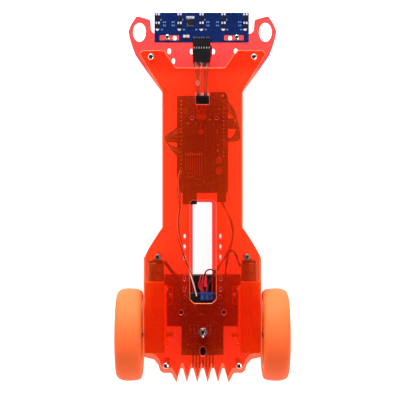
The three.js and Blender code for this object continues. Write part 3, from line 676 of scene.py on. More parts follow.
def make_fasteners():
    turns = random.Random(7)
    for row, (x, y) in POSTS.items():
        for side, sign in SIDES.items():
            node = f"screw_{row}_{side}"
            head = 2
            turn = turns.uniform(0, 1.5)
            plate = "can" if row == "middle" else "plated"
            # The cross recess is painted black with the chip finish: painted shade
            shape = Shape(plate + " chip", placed(sign * x, y, span(node)[1].z - head, turn))
            screw_head(shape, 3.2, head, plate, "chip")
            shape.bar((0, 0, -9), (0, 0, 0), 1.4)
            shape.piece(f"pan_screw_{row}_{side}", "steel", node)

            low, high = span(f"standoff_{row}_{side}")
            post = Shape("brass")
            post.slab(ring((sign * x, y), 2.9, 6), low.z, high.z, 0.35)
            post.bar((sign * x, y, low.z - 0.2), (sign * x, y, high.z + 0.2), 2.2)
            post.piece(f"hex_standoff_{row}_{side}", "brass", f"standoff_{row}_{side}")

            shape = Shape("steel", placed(sign * x, y, LOWER_FOOT - 0.2, turn, -1))
            screw_head(shape, 2.9, 1.9)
            shape.piece(f"lower_screw_{row}_{side}", "steel")


# ---- Parts soldered on the boards ----
def surface_part(shape, x, y, z, length, width, height, turn=0.0, body="chip", ends="tin"):
    """A chip resistor or capacitor with its two plated ends and solder fillets."""
    keep = shape.at
    shape.at = keep @ placed(x, y, z, turn)
    cap = length * 0.22
    half, side = length / 2, width / 2
    shape.block((-half + cap, -side * 0.94, 0.05), (half - cap, side * 0.94, height), 0.06, body)
    for way in (-1, 1):
        inner, outer, pad = way * (half - cap), way * half, way * (half + width * 0.3)
        shape.block((inner, -side, 0.04), (outer, side, height + 0.04), 0.07, ends)
        shape.block((inner, -side * 1.15, 0), (pad, side * 1.15, 0.12), 0.05, ends)
    shape.at = keep


def gull_chip(shape, x, y, z, length, width, pins, leads="tin", body="chip", height=1.6):
    """A moulded chip with bent leads down both long sides and a dot at pin one."""
    keep = shape.at
    shape.at = keep @ placed(x, y, z)
    shape.block((-length / 2, -width / 2, 0.25), (length / 2, width / 2, height), 0.18, body)
    shape.at = shape.at @ Matrix.Translation((-length / 2 + 0.8, -width / 2 + 0.8, height))
    shape.turned([(0.32, 0), (0.3, 0.02), (0, 0.02)], 12, leads)
    shape.at = keep @ placed(x, y, z)
    pitch = length / pins
    for pin in range(pins):
        px = (pin - (pins - 1) / 2) * pitch
        for way in (-1, 1):
            edge = width / 2
            run = [(edge - 0.1, 0.9), (edge + 0.45, 0.85), (edge + 0.7, 0.2), (edge + 1.3, 0.08)]
            lead = catmull([(px, way * d, h) for d, h in run], 3)
            shape.tube(lead, pitch * 0.17, 6, leads)
    shape.at = keep


def dip_chip(shape, low, high, pins, body="chip", leads="solder"):
    """A long chip in its socket, with flat leads down both long sides and a notch at one end."""
    (x0, y0, z0), (x1, y1, z1) = low, high
    shape.block((x0, y0, z0), (x1, y1, z0 + 1.6), 0.2, body)
    shape.block((x0 + 0.7, y0 + 0.4, z0 + 1.6), (x1 - 0.7, y1 - 0.4, z1), 0.3, body)
    pitch = (y1 - y0) / pins
    for pin in range(pins):
        y = y0 + (pin + 0.5) * pitch
        for edge, way in ((x0 + 0.7, -1), (x1 - 0.7, 1)):
            out = edge + way * 0.35
            shape.block((edge, y - 0.65, z0 + 1.2), (out, y + 0.65, z0 + 2.6), 0.08, leads)
            shape.block((edge, y - 0.3, z0 + 0.2), (out, y + 0.3, z0 + 1.4), 0.06, leads)
    cx, notch = (x0 + x1) / 2, y1 - 0.5
    shape.bar((cx, notch, z1 - 0.02), (cx, notch, z1 + 0.02), 0.9, 16, leads, 0.01)


def capacitor(shape, x, y, z, radius, height, can, sleeve, base):
    """A radial electrolytic capacitor: a sleeved can with a rolled shoulder and scored top."""
    keep = shape.at
    shape.at = keep @ placed(x, y, z)
    shape.turned([(radius, 0), (radius, 0.5), (radius * 0.94, 0.6), (radius * 0.94, 0.9)], 28, base)
    r = radius
    side = [(r, 0.9), (r, height * 0.14), (r * 0.93, height * 0.17), (r, height * 0.21), (r, height - 0.4)]
    shape.turned([*side, (r * 0.95, height - 0.1), (r * 0.82, height)], 28, sleeve)
    shape.turned([(r * 0.8, height - 0.1), (r * 0.78, height - 0.02), (0, height - 0.02)], 28, can)
    for way in (0, math.pi / 2):
        shape.at = keep @ placed(x, y, z, way)
        shape.block((-r * 0.6, -0.1, height - 0.1), (r * 0.6, 0.1, height + 0.03), 0.02, base)
    shape.at = keep


# ---- Sensor board ----
# Short printed dashes beside each pair of eyes, by column: how far each is from the column
DASHES = {-2: [3.2], -1: [3.3], 0: [-6.5, 3.3], 1: [2.6], 2: [-5.5]}


def make_sensor_board():
    low, high = span("sensor_board")
    slots = [rect((x - 9.9, 160.1), (x + 9.9, 165.1), 1, 4) for x in (-34.1, 32.4)]
    board = Shape("navy fibre")
    board.sheet(rect(low, high, 1.2, 5), slots, low.z, high.z, 0.08, edge="fibre")
    board.piece("line_sensor_board", "circuit_navy", "sensor_board")
    make_sensor_parts((low.x + high.x) / 2, high.z)
    make_sensor_screws(high.z)
    for i in range(1, 6):
        make_eye(i)


def make_sensor_parts(cx, top):
    """Solder pads and round wells in five columns, printed marks, the chip and one capacitor."""
    parts = Shape("navy solder chip white beige mark oxblood")
    for column in range(-2, 3):
        x = cx + column * 22.6
        for y in (186.7, 177.8):
            parts.block((x - 2.2, y - 1.1, top - 0.1), (x - 0.7, y + 1.1, top + 0.4), 0.3, "solder")
            parts.block((x + 0.2, y - 1.2, top - 0.1), (x + 2.1, y + 1.2, top + 0.45), 0.35, "solder")
        for y in (182.4, 174.4):
            parts.at = placed(x - 0.1, y, top)
            parts.turned([(2.3, 0), (2.2, 0.12), (0, 0.14)], 24, "chip")
        parts.at = Matrix.Identity(4)
        turns = [math.pi * k / 10 for k in range(11)]
        moon = [(x - 0.4 + 1.9 * math.cos(a), 171.7 - 2.1 * math.sin(a)) for a in turns]
        parts.slab(moon, top - 0.1, top + 0.3, 0.12, "solder")
        for dx in DASHES[column]:
            parts.block((x + dx, 170.3, top - 0.1), (x + dx + 2.2, 171.4, top + 0.15), 0.1, "mark")
        parts.bar((x + 2.9, 180.2, top + 0.1), (x + 3.6, 181.8, top + 0.1), 0.22, 8, "solder")
    for x in (-39.2, -30, 5.6, 15.5, 38.4):
        for y in (175.1, 178.6):
            for dx in (-1.5, 0.3):
                parts.block((x + dx, y - 0.8, top - 0.1), (x + dx + 1.2, y + 0.8, top + 0.2), 0.15, "mark")
    gull_chip(parts, -12.5, 178.5, top, 7.4, 6, 7, leads="solder")
    for k in range(7):
        x = -16.5 + k * 1.2
        parts.block((x, 182.5, top - 0.1), (x + 0.9, 184.7, top + 0.5), 0.2, "solder")
    surface_part(parts, -16.6, 164.1, top, 4.8, 2.6, 0.9, 0, "beige", "solder")
    parts.block((-18.4, 161, top - 0.1), (-14.8, 162.6, top + 0.6), 0.2, "oxblood")
    parts.piece("sensor_board_parts", "steel")


def make_sensor_screws(top):
    """Two screws with washers in the board's slots, and their nuts on the plate."""
    for side, x in (("left", -36.1), ("right", 35.4)):
        # The cross recess is painted black with the chip finish: painted shade
        shape = Shape("plated chip", placed(x, 163, top + 0.5, 0.6))
        screw_head(shape, 2.7, 1.7, "plated", "chip")
        shape.at = placed(x, 163, top)
        shape.turned([(3.4, 0), (3.4, 0.45), (1.6, 0.45), (1.6, 0)], 28)
        shape.bar((0, 0, -10), (0, 0, 0), 1.4)
        shape.at = placed(x, 163, 28.4)
        shape.slab(ring((0, 0), 3, 6), 0, 2.4, 0.25)
        shape.piece(f"sensor_screw_{side}", "steel")


def make_eye(i):
    """One infrared emitter and receiver in a moulded shell that hangs from the board."""
    node = f"ir_sensor_{i}"
    low, high = span(node)
    shell = Shape("black blue")
    base = low.z + 0.6
    shell.block((low.x, low.y, base), high, 0.3)
    for y, lens in ((-2.5, "blue"), (2.5, "black")):
        shell.at = placed((low.x + high.x) / 2, (low.y + high.y) / 2 + y, base, 0, -1)
        shell.turned([(1.9, -0.05), (1.9, 0.25), (1.65, 0.3), (1.5, 0.42), (0.9, 0.56), (0, 0.6)], 20, lens)
    shell.piece(f"infrared_eye_{i}", "black_plastic", node)


# ---- Sensor lead ----
PITCH = 2.6  # between the pins of the header and its plug
WINDOWS = ((0.6, 151, 153), (0.55, 141, 142.4))  # in each housing: half its width, and its ends in y


def make_sensor_lead():
    low, high = span("sensor_header")
    cx, base = (low.x + high.x) / 2, low.z
    header = Shape("black anodised tin")
    for pin in range(-3, 4):
        x = cx + pin * PITCH
        header.block((x - 1.25, low.y, base), (x + 1.25, low.y + 2.5, base + 2), 0.3)
        run = [(158, 2.1), (161.8, 2.1), (162.8, 1.4), (163.1, -0.2)]
        header.tube(catmull([(x, y, base + rise) for y, rise in run], 4), 0.34, 8, "anodised")
        header.block((x - 0.55, high.y - 1.2, base - 0.28), (x + 0.55, high.y, base - 0.1), 0.05, "tin")
    header.piece("sensor_pins", "black_plastic", "sensor_header")

    low, high = span("sensor_plug")
    plug = Shape("black tin")
    for pin in range(-3, 4):
        x = cx + pin * PITCH
        outline = rect((x - 1.26, low.y), (x + 1.26, high.y), 0.25)
        windows = [rect((x - half, back), (x + half, front), 0.2) for half, back, front in WINDOWS]
        plug.sheet(outline, windows, high.z - 0.5, high.z, 0.12)
        plug.block((x - 1.26, low.y, low.z), (x + 1.26, high.y, high.z - 0.5), 0.12)
        plug.block((x - 0.45, 151, high.z - 0.7), (x + 0.45, 153, high.z - 0.2), 0.15, "tin")
    plug.piece("jumper_housings", "black_plastic", "sensor_plug")

    colours = "black brown black grey black brown black".split()
    front = span("controller_plug")[1].y
    lead = Shape("wire_black wire_brown wire_grey")
    for i, colour in enumerate(colours):
        x = cx + (i - 3) * PITCH
        left = i < 4
        lane = -5.4 + i if left else 2.2 + (i - 4) * 1.05
        lift = 1.1 * (i % 2)
        run = [
            (x, low.y + 1, 37.5),
            (x * 0.93 + lane * 0.07, 133.6, 37.7 + lift * 0.3),
            (x * 0.6 + lane * 0.4, 128.6, 39 + lift),
            (lane * 1.08, 121, 42.4 + lift),
            (lane, 112, 48 + lift),
            (lane, 105.6, 51.4 + lift),
            (lane, front - 0.3, 52 + lift),
        ]
        lead.tube(catmull(run, 6), 0.72, 10, "wire_" + colour)
    lead.piece("sensor_wires", "wire", "sensor_cable")


# ---- Controller board ----
BOARD = 1.6  # thickness of the two stacked boards


def make_board(node, name, holes, corner):
    """A board on hexagonal posts with a screw in each. Returns the height of its top face."""
    low, high = span(node)
    board = Shape("teal fibre")
    rings = [ring((x, y), 1.7) for x, y in holes]
    board.sheet(rect(low, high, corner, 5), rings, low.z, low.z + BOARD, 0.08, edge="fibre")
    board.piece(name, "circuit_green", node)
    posts = Shape("black can")
    for x, y in holes:
        posts.at = placed(x, y, LOWER_ROOF + 0.1)
        posts.slab(ring((0, 0), 3, 6), 0, low.z - LOWER_ROOF - 0.2, 0.25)
        posts.at = placed(x, y, low.z + 1.7, 0.4 + x)
        screw_head(posts, 2.7, 1.7, "can")
    posts.piece(name + "_posts", "steel")
    return low.z + BOARD


def make_controller():
    corners = [(-22, 6.6), (22, 6.6), (-17.6, 86.5), (17.8, 86.5)]
    top = make_board("controller_board", "controller_circuit", corners, 2)
    for side, pins in (("left", 18), ("right", 15)):
        make_pin_socket(side, pins)
    chip = Shape("chip solder")
    dip_chip(chip, *span("microcontroller"), 14)
    chip.piece("dip_chip", "black_plastic", "microcontroller")
    make_sockets()
    make_button(top)
    make_controller_parts(top)
    make_jumper_block()


def make_pin_socket(side, pins):
    """One long socket, with a jumper's pin in every hole."""
    node = "pin_socket_" + side
    low, high = span(node)
    pitch = (high.y - low.y) / pins
    centre = (low.x + high.x) / 2
    at = [low.y + (pin + 0.5) * pitch for pin in range(pins)]
    socket = Shape("black solder")
    holes = [rect((centre - 0.5, y - 0.6), (centre + 0.5, y + 0.6), 0.1, 1) for y in at]
    socket.sheet(rect(low, high, 0.3), holes, low.z + 1, high.z, 0.12)
    socket.block(low, (high.x, high.y, low.z + 1), 0.1)
    for y in at:
        socket.block((centre - 0.46, y - 0.55, low.z + 1), (centre + 0.46, y + 0.55, high.z), 0.12, "solder")
        socket.block((centre - 0.6, y - 0.65, high.z), (centre + 0.6, y + 0.65, high.z + 0.9), 0.15, "solder")
    socket.piece("female_header_" + side, "black_plastic", node)


def make_controller_parts(top):
    parts = Shape("teal tin chip beige black white can wire_red maroon solder")
    for y in (25, 36.2):
        capacitor(parts, 16.7, y, top, 3.5, 7.4, "maroon", "maroon", "black")
    gull_chip(parts, -4.5, 14, top, 8, 5, 7)
    gull_chip(parts, 9, 16.6, top, 6.4, 6.4, 3)
    parts.bar((-7.2, 72.6, top), (-7.2, 72.6, top + 3.4), 2.6, 28, "can", 0.4)
    spots = [(-14.6, 74), (-1.6, 72), (-1.4, 76), (15.6, 46), (16, 52), (15.4, 66), (-15.6, 12), (1.6, 14)]
    for k, (x, y) in enumerate(spots):
        surface_part(parts, x, y, top, 2.1, 1.25, 0.55, math.pi / 2 * (k % 2), "chip" if k % 3 else "beige")
    make_shield(parts, top)
    parts.piece("controller_parts", "black_plastic")


def make_jumper_block():
    """Five jumper plugs side by side, pushed down unevenly."""
    low, high = span("controller_plug")
    plug = Shape("black solder")
    drops = [0.0, 0.5, -0.4, 0.3, 0.6]
    pitch = (high.x - low.x) / len(drops)
    for k, drop in enumerate(drops):
        x = low.x + (k + 0.5) * pitch
        for y, ceiling in ((94.4, high.z - abs(drop)), (98.7, high.z - 0.4 - drop)):
            plug.block((x - 1.12, y - 2, low.z + 8), (x + 1.12, y + 2, min(ceiling, high.z)), 0.25)
        plug.block((x - 0.3, low.y + 0.02, high.z - 4), (x + 0.3, low.y + 0.4, high.z - 0.6), 0.1, "solder")
    plug.block((low.x + 0.1, low.y + 0.2, low.z), (high.x - 0.1, high.y - 0.1, low.z + 8), 0.3)
    plug.piece("jumper_block", "black_plastic", "controller_plug")


def make_shield(parts, top):
    """The shield's radio module, pin rows and front tongue, and the red leads under the plug."""
    parts.block((-14.6, 46.4, top), (2.2, 69.4, top + 2.6), 0.4, "chip")
    parts.at = placed(-1.3, 65.2, top + 2.6)
    parts.turned([(2.9, 0), (2.9, 1.4), (2.2, 1.6), (0.9, 1.1), (0, 1.1)], 32, "maroon")
    parts.at = Matrix.Identity(4)
    for k in range(8):
        x = -17.3 + k * 2.36
        foot = 26 if x < -8 else 20
        parts.block((x - 0.42, foot, top), (x + 0.42, 39, top + 4.2), 0.15, "maroon")
        parts.block((x - 0.55, 40.4, top), (x + 0.55, 43.6, top + 5), 0.2, "maroon")
        parts.block((x - 0.45, 40.8, top + 5), (x + 0.45, 43.2, top + 5.6), 0.1, "tin")
    for x, half in ((-10.5, 2.6), (14.1, 2)):
        parts.block((x - half, 74.8, top), (x + half, 80, top + 9), 0.4, "black")
    tongue = rounded([(7.4, 97.4), (25, 97.4), (25, 103), (22.6, 105.2), (7.4, 105.2)], 0.8, 3)
    parts.slab(tongue, 50.8, 52.4, 0.1)
    for x, y in ((10, 100.4), (20.4, 101.2)):
        parts.bar((x, y, top), (x, y, 50.8), 1.6, 16, "black")
    parts.bar((20.4, 101.2, 52.4), (20.4, 101.2, 53.2), 1.2, 16, "solder")
    for k in range(4):
        x = -4.9 + k * 2.5
        bend = 1.1 if k % 2 else -0.9
        run = [(x, 91.8, 50), (x + bend, 88.6, 49), (x - bend * 0.8, 85, 47), (x + bend * 0.4, 82, 45)]
        parts.tube(catmull(run, 5), 0.85, 8, "wire_red")
        parts.block((x - 1.1, 77.8, top), (x + 1.1, 82.6, 46), 0.3, "wire_red")


def make_sockets():
    low, high = span("usb_socket")
    usb = Shape("black steel white gold", Matrix.Translation((0, low.y, 0)) @ ALONG_Y)
    outer = rect((low.x, low.z), (high.x, high.z), 1.2, 4)
    mouth = rect((low.x + 1, low.z + 1.4), (high.x - 1, high.z - 0.9), 1, 4)
    usb.sheet(outer, [mouth], 0, 14, 0.15)
    usb.at = Matrix.Identity(4)
    usb.block((low.x, low.y + 13.6, low.z), (high.x, high.y, high.z), 0.5)
    usb.block((low.x + 3.6, low.y + 1.5, low.z + 4.4), (high.x - 3.6, low.y + 14, low.z + 7), 0.3, "white")
    for k in range(4):
        x = low.x + 4.4 + k * 1.15
        usb.block((x - 0.3, low.y + 2, low.z + 6.9), (x + 0.3, low.y + 12, low.z + 7.15), 0.06, "gold")
    for side in (low.x - 0.02, high.x - 0.28):
        usb.block((side, low.y + 4, low.z + 4), (side + 0.3, low.y + 9, low.z + 7.4), 0.1, "steel")
    usb.piece("usb_shell", "black_plastic", "usb_socket")

    low, high = span("power_jack")
    jack = Shape("black steel solder")
    cx, cz = (low.x + high.x) / 2, low.z + 6
    jack.at = Matrix.Translation((0, low.y, 0)) @ ALONG_Y
    jack.sheet(rect((low.x, low.z), (high.x, high.z), 0.8, 3), [ring((cx, cz), 3.2, 32)], 0, 3.6, 0.25)
    jack.sheet(rect((low.x, low.z), (high.x, high.z - 1), 0.8, 3), [ring((cx, cz), 3, 32)], 3.6, 13, 0.15)
    jack.at = Matrix.Identity(4)
    jack.block((low.x, low.y + 12.8, low.z), (high.x, high.y, high.z - 1), 0.4)
    jack.bar((cx, low.y + 1.2, cz), (cx, low.y + 13, cz), 1.05, 20, "steel", 0.25)
    jack.block((low.x + 0.6, low.y + 13.4, low.z - 0.1), (low.x + 2, high.y, low.z + 4), 0.1, "solder")
    jack.piece("barrel_jack", "black_plastic", "power_jack")


def make_button(top):
    base = Shape("steel black")
    high = top + 3.4
    base.block((-15.6, 18.4, top), (-9.6, 24.4, high - 0.5), 0.25, "black")
    well = [ring((-12.6, 21.4), 1.9, 28)]
    base.sheet(rect((-15.5, 18.5), (-9.5, 24.3), 0.5), well, high - 0.5, high, 0.08, edge="black")
    for x in (-14.9, -10.3):
        for y in (19.1, 23.7):
            base.bar((x, y, high), (x, y, high + 0.25), 0.45, 14, "black", 0.1)
    for x in (-15.6, -9.6):
        for y in (19.2, 23.6):
            base.block((x - 0.8, y - 0.35, top - 0.02), (x + 0.8, y + 0.35, top + 0.4), 0.1)
    base.piece("button_base", "steel")
    low, high = span("reset_button")
    cap = Shape("black", placed((low.x + high.x) / 2, (low.y + high.y) / 2, low.z))
    cap.turned([(1.7, 0), (1.7, 1.1), (1.6, 1.36), (1.35, 1.5), (0.7, 1.44), (0, 1.42)], 32)
    cap.piece("button_cap", "black_plastic", "reset_button", body="reset")


# ---- Motor driver board ----
def make_driver():
    corners = [(x, y) for y in (-104, -159.6) for x in (-17.9, 17.9)]
    top = make_board("driver_board", "driver_circuit", corners, 1)
    low, high = span("heat_sink")
    sink = Shape("anodised")
    sink.block((low.x, -152, low.z), (high.x, -149.5, high.z), 0.3)
    for fin in range(6):
        x = low.x + fin * 4.36
        sink.block((x, low.y, low.z), (x + 1.2, -151, high.z), 0.25)
    sink.piece("finned_heat_sink", "black_metal", "heat_sink")
    make_terminal("terminal_power", 3, 4.8, 0)
    for side, sign in SIDES.items():
        # The side clamp blocks take the darker blue: painted shade on the same blue plastic
        make_terminal("terminal_" + side, 2, 7, -sign * math.pi / 2, "shaded_blue")
    make_driver_parts(top)


def make_driver_parts(top):
    """The bridge chip that stands on edge, its bent leads, capacitors, resistors and the pin row."""
    parts = Shape("teal tin chip white wire_black red wire_brown solder oxblood maroon")
    parts.block((-9.8, -149.3, top + 1), (9.8, -144.6, top + 17), 0.4, "chip")
    for k in range(15):
        x = -8.4 + k * 1.2
        run = [(x, -146.4, top + 1.2), (x, -146 + (k % 2) * 3, top + 0.8), (x, -144.6 + (k % 2) * 3.4, top)]
        parts.tube(catmull(run, 3), 0.3, 6, "tin")
    capacitor(parts, -9.6, -113.6, top, 4.2, 11.5, "tin", "wire_black", "chip")
    capacitor(parts, 12, -130.6, top, 3.2, 9.5, "tin", "wire_black", "chip")
    gull_chip(parts, -2, -126, top, 6.6, 6.2, 3)
    for x in (-12.4, -8.4, -4.4, 4.6, 8.4):
        for y in (-134.6, -139.4):
            surface_part(parts, x, y, top, 2.9, 1.6, 1.1, math.pi / 2, "chip")
    surface_part(parts, -14.6, -152.4, top, 2.1, 1.3, 0.7, 0, "red")
    parts.block((-11.4, -163.3, top), (12.6, -161.2, top + 2.5), 0.2, "chip")
    parts.block((-4.6, -160.9, top), (5.4, -152.4, top + 2), 0.3, "oxblood")
    for k in range(7):
        x = -9.6 + k * 3.4
        parts.bar((x, -164, top + 1.3), (x, -162, top + 1.3), 0.35, 8, "tin")
        parts.block((x - 0.8, -176.4, top + 0.2), (x + 0.8, -163.6, top + 2.4), 0.3, "maroon")
    parts.bar((-21, -112, top), (-21, -112, top + 1), 0.9, 12, "solder")
    parts.piece("driver_parts", "black_plastic")


def make_terminal(node, ways, pitch, turn, body="blue"):
    """Clamp ways side by side, each with a wire mouth in front and a slotted screw in a well."""
    centre = middle(node)
    foot = placed(centre.x, centre.y, span(node)[0].z, turn)
    shape = Shape(body + " mark", foot @ Matrix.Translation((0, -3.8, 0)))
    half = pitch / 2 - 0.06
    for way in range(ways):
        x = (way - (ways - 1) / 2) * pitch
        shape.sheet(rect((x - half, 0), (x + half, 7.6), 0.3), [ring((x, 3.4), 1.75)], 7.2, 10, 0.2)
        shape.block((x - half, 0, 0), (x + half, 5.4, 7.2), 0.15)
        shape.block((x - half, 5.4, 4.6), (x + half, 7.6, 7.2), 0.15)
        shape.block((x - half, 5.4, 0), (x + half, 7.6, 1.5), 0.15)
        for way_x in (x - half, x + half - 0.9):
            shape.block((way_x, 5.4, 1.4), (way_x + 0.9, 7.6, 4.7), 0.1)
        # The clamp face in the mouth is in the pale blue print finish: painted reflection on its metal
        shape.block((x - 1.4, 5.2, 1.7), (x + 1.4, 6.4, 4.4), 0.1, "mark")
        screw_slot(shape, x, 3.4, 7.2)
    shape.piece(node.replace("terminal", "clamp_block"), "blue_plastic", node)


def screw_slot(shape, x, y, z):
    """A small cheese head with one slot."""
    # The head and its slot are in the pale blue print finish: painted reflection of the blue body on its
    # metal
    levels = [(ring((x, y), r, 24), z + rise) for r, rise in ((1.55, 0), (1.55, 1.2), (1.4, 1.35))]
    rings = shape.loft(raised(levels), "mark", (False, False))
    slot = [(x - 1.2, y - 0.25), (x + 1.2, y - 0.25), (x + 1.2, y + 0.25), (x - 1.2, y + 0.25)]
    walls = shape.loft(raised([(slot, z + 1.35), (slot, z + 0.7)]), "mark", (False, True))
    shape.fill([rings[-1], walls[0]], "mark")


# ---- Battery holder ----
CELL_PITCH = 25.2


def make_battery():
    """The open-bottomed tray, its four contact springs and its two wrapped cells."""
    low, high = span("battery_holder")
    roof, wall = high.z, 1.6
    ceiling = roof - wall + 0.1
    tray = Shape("black")
    exit_hole = rounded([(4.4, -93.4), (4.4, -84), (3.2, -84), (0.2, -88.5), (-1.4, -93.4)], 0.6, 3)
    tray.sheet(rect(low, high, 1.4, 4), [exit_hole], roof - wall, roof, 0.2)
    between = (low.y + high.y) / 2
    rows = [between + side * CELL_PITCH / 2 for side in (-1, 1)]
    for y0, y1 in ((low.y, low.y + 2.9), (between - 1.2, between + 1.2), (high.y - 2.9, high.y)):
        tray.block((low.x, y0, low.z), (high.x, y1, ceiling), 0.5)
    for x0, x1 in ((low.x, low.x + 4.9), (high.x - 4.9, high.x)):
        tray.block((x0, low.y, low.z), (x1, high.y, ceiling), 0.5)
    for x in (low.x, high.x - 4.7):
        for y in rows:
            tray.block((x + 0.2, y - 6, low.z + 3), (x + 4.6, y + 6, roof - 3), 0.2)
    tray.piece("cell_tray", "black_plastic", "battery_holder")

    contacts = Shape("steel")
    for y in rows:
        for x, thickness in ((-34.5, 0.3), (34.5, -0.3)):
            contacts.block((x, y - 4, 14), (x + thickness, y + 4, 26), 0.08)
    contacts.piece("cell_contacts", "steel")

    for node, sign in (("cell_front", 1), ("cell_rear", -1)):
        centre = middle(node)
        cell = Shape("red steel", Matrix.Translation((-sign * 32.5, centre.y, centre.z)) @ quarter(sign))
        cell.turned([(8.6, 0), (8.9, 0.3), (8.9, 63.2), (8.6, 63.6), (7.2, 63.6), (7, 63.4)], 48)
        cell.turned([(7.4, 0.1), (7.6, 0), (0, 0)], 48, "steel")
        cap = [(7.2, 63.5), (6.6, 63.7), (3.4, 63.8), (3, 64.1), (3, 64.8), (2.8, 65), (0, 65)]
        cell.turned(cap, 48, "steel")
        cell.piece("wrapped_" + node, "red_film", node)


# ---- Geared motors ----
# Side views of the motor are drawn along Y and Z, and the left one is the right one's mirror image
AXLE = (-141.5, 47)
MOUNTING = [(-96, 55), (-151, 55)]


def make_motor(side, sign):
    mirrored = Matrix.Diagonal((sign, 1, 1, 1))
    make_gearbox(side, mirrored)
    make_can(side, sign, mirrored)
    outer = make_bracket(side, mirrored)
    make_motor_screws(side, mirrored, outer)
    make_shaft(side, mirrored)


def reach(node):
    """How far a node's near and far sides are from the car's middle plane."""
    low, high = span(node)
    return sorted((abs(low.x), abs(high.x)))


def make_gearbox(side, mirrored):
    """Two half shells round a seam, with ribs, bosses, a top screw post and small hex screws."""
    low, high = span("gearbox_" + side)
    face, back = reach("gearbox_" + side)
    back -= 0.8
    seam = (face + back) / 2
    outline = rect((low.y, low.z), (high.y, high.z), 2.2, 4)
    holes = [ring(AXLE, 3, 28), *[ring(at, 1.5, 20) for at in MOUNTING]]
    box = Shape("yellow steel", mirrored @ ALONG_X)
    box.sheet(outline, holes, face, seam - 0.15, 0.4)
    box.sheet(outline, holes, seam + 0.15, back, 0.4)
    box.sheet(inset(outline, 0.5), holes, seam - 0.4, seam + 0.4, 0.05)
    box.sheet(ring(AXLE, 5.4, 32), [ring(AXLE, 3, 32)], back - 0.2, back + 0.8, 0.25)
    box.sheet(ring((-116, 47), 8.2, 36), [ring((-116, 47), 7, 36)], back - 0.2, back + 0.35, 0.12)
    for y in (-103, -128):
        rib = rect((y - 0.7, low.z + 2.5), (y + 0.7, high.z - 2.5), 0.4)
        box.slab(rib, back - 0.2, back + 0.35, 0.12)
    box.at = mirrored
    for y in range(-154, -93, 10):
        box.block((face + 1.2, y - 0.6, high.z - 0.1), (back - 1.2, y + 0.6, high.z + 0.25), 0.1)
    box.at = mirrored @ placed(45.7, -118.7, high.z)
    box.turned([(2, -0.1), (2, 0.4), (1.8, 0.55), (1.1, 0.55), (1, -0.1)], 24)
    box.at = mirrored @ ALONG_X
    for at in ((-91.6, 39), (-91.6, 50), (-128, 39), (-128, 55), (-156.6, 47)):
        box.sheet(ring(at, 1.7, 20), [ring(at, 0.7, 6)], face - 0.25, face + 0.2, 0.12, "steel")
    box.piece("geared_box_" + side, "yellow_plastic", "gearbox_" + side)


def make_can(side, sign, mirrored):
    """The flat-sided steel can with its crimps, drawn as near-black patches of painted shade, and the end cap
    with a boss and two tags.
    """
    low, high = span("motor_can_" + side)
    x = middle("motor_can_" + side).x * sign
    can = Shape("can chip black solder", mirrored @ Matrix.Translation((x, 0, AXLE[1])) @ ALONG_Y)
    shell = rect((-8.2, -10), (8.2, 10), 6.8, 8)
    can.slab(shell, low.y, high.y - 3.6, 0.5)
    can.slab(inset(shell, 0.7), high.y - 3.8, high.y - 1.2, 0.4, "black")
    can.sheet(ring((0, 0), 3, 28), [ring((0, 0), 1.1, 20)], high.y - 1.4, high.y, 0.3, "black")
    # Near-black patches at the crimps: painted shade where they dent the can
    for z in (-9.98, 9.7):
        can.block((-3.2, z, low.y + 6), (3.2, z + 0.28, low.y + 9), 0.1, "chip")
    for x in (-5.2, 5.2):
        can.slab(rect((x - 0.9, 2.4), (x + 0.9, 3), 0.2), high.y - 1.4, high.y - 0.8, 0.05, "solder")
    can.piece("motor_shell_" + side, "steel", "motor_can_" + side)


def make_bracket(side, mirrored):
    """An acrylic angle: a leg with a window against the motor, and a foot on the lower plate."""
    low, high = span("motor_bracket_" + side)
    outer = reach("motor_bracket_" + side)[1]
    thickness = 2.2
    leg = rect((low.y, low.z), (high.y, high.z), 1.6, 4)
    window = rect((-132, low.z + 8), (-104, 52), 2, 5)
    bores = [ring(AXLE, 4.2, 32), window, *[ring(at, 1.6, 20) for at in MOUNTING]]
    plate = Shape("orange orange_edge", mirrored @ ALONG_X)
    plate.sheet(leg, bores, outer - thickness, outer, 0.25, edge="orange_edge")
    plate.at = mirrored
    foot = rect((outer - 8, -112), (outer - 0.4, -94), 1)
    bore = ring((outer - 5.4, -103), 1.6, 20)
    plate.sheet(foot, [bore], low.z, low.z + thickness, 0.25, edge="orange_edge")
    plate.piece("motor_angle_" + side, "acrylic_orange", "motor_bracket_" + side)
    return outer


def make_motor_screws(side, mirrored, outer):
    foot = span("motor_bracket_" + side)[0].z
    screws = Shape("steel", mirrored @ placed(outer - 5.4, -103, foot + 2.4, 0.7))
    screw_head(screws, 2.4, 1.5)
    for y, z in MOUNTING:
        screws.at = mirrored @ Matrix.Translation((outer - 2.3, y, z)) @ quarter(-1)
        screw_head(screws, 2.5, 1.6)
        screws.bar((0, 0, -8), (0, 0, 0), 1.3)
    screws.piece("motor_screws_" + side, "steel")


def make_shaft(side, mirrored):
    """The output shaft: round in the gearbox, with two flats where it enters the hub."""
    inner, outer = reach("wheel_shaft_" + side)
    shoulder = 61
    shaft = Shape("yellow", mirrored @ ALONG_X @ placed(*AXLE, 0))
    levels = ((2.4, inner), (2.7, inner + 0.4), (2.7, shoulder))
    shaft.loft(raised([(ring((0, 0), r, 32), z) for r, z in levels]))
    flat = [(x, max(-1.9, min(1.9, y))) for x, y in ring((0, 0), 2.7, 32)]
    tip = [(x * 0.9, y * 0.9) for x, y in flat]
    shaft.loft(raised([(flat, shoulder - 0.1), (flat, outer - 0.3), (tip, outer)]))
    shaft.piece("drive_shaft_" + side, "hub_plastic", "wheel_shaft_" + side, body=side + "_wheel")


# ---- Wheels ----
TRACK = 74  # from the middle plane to the middle of each wheel
SPOKES = 5


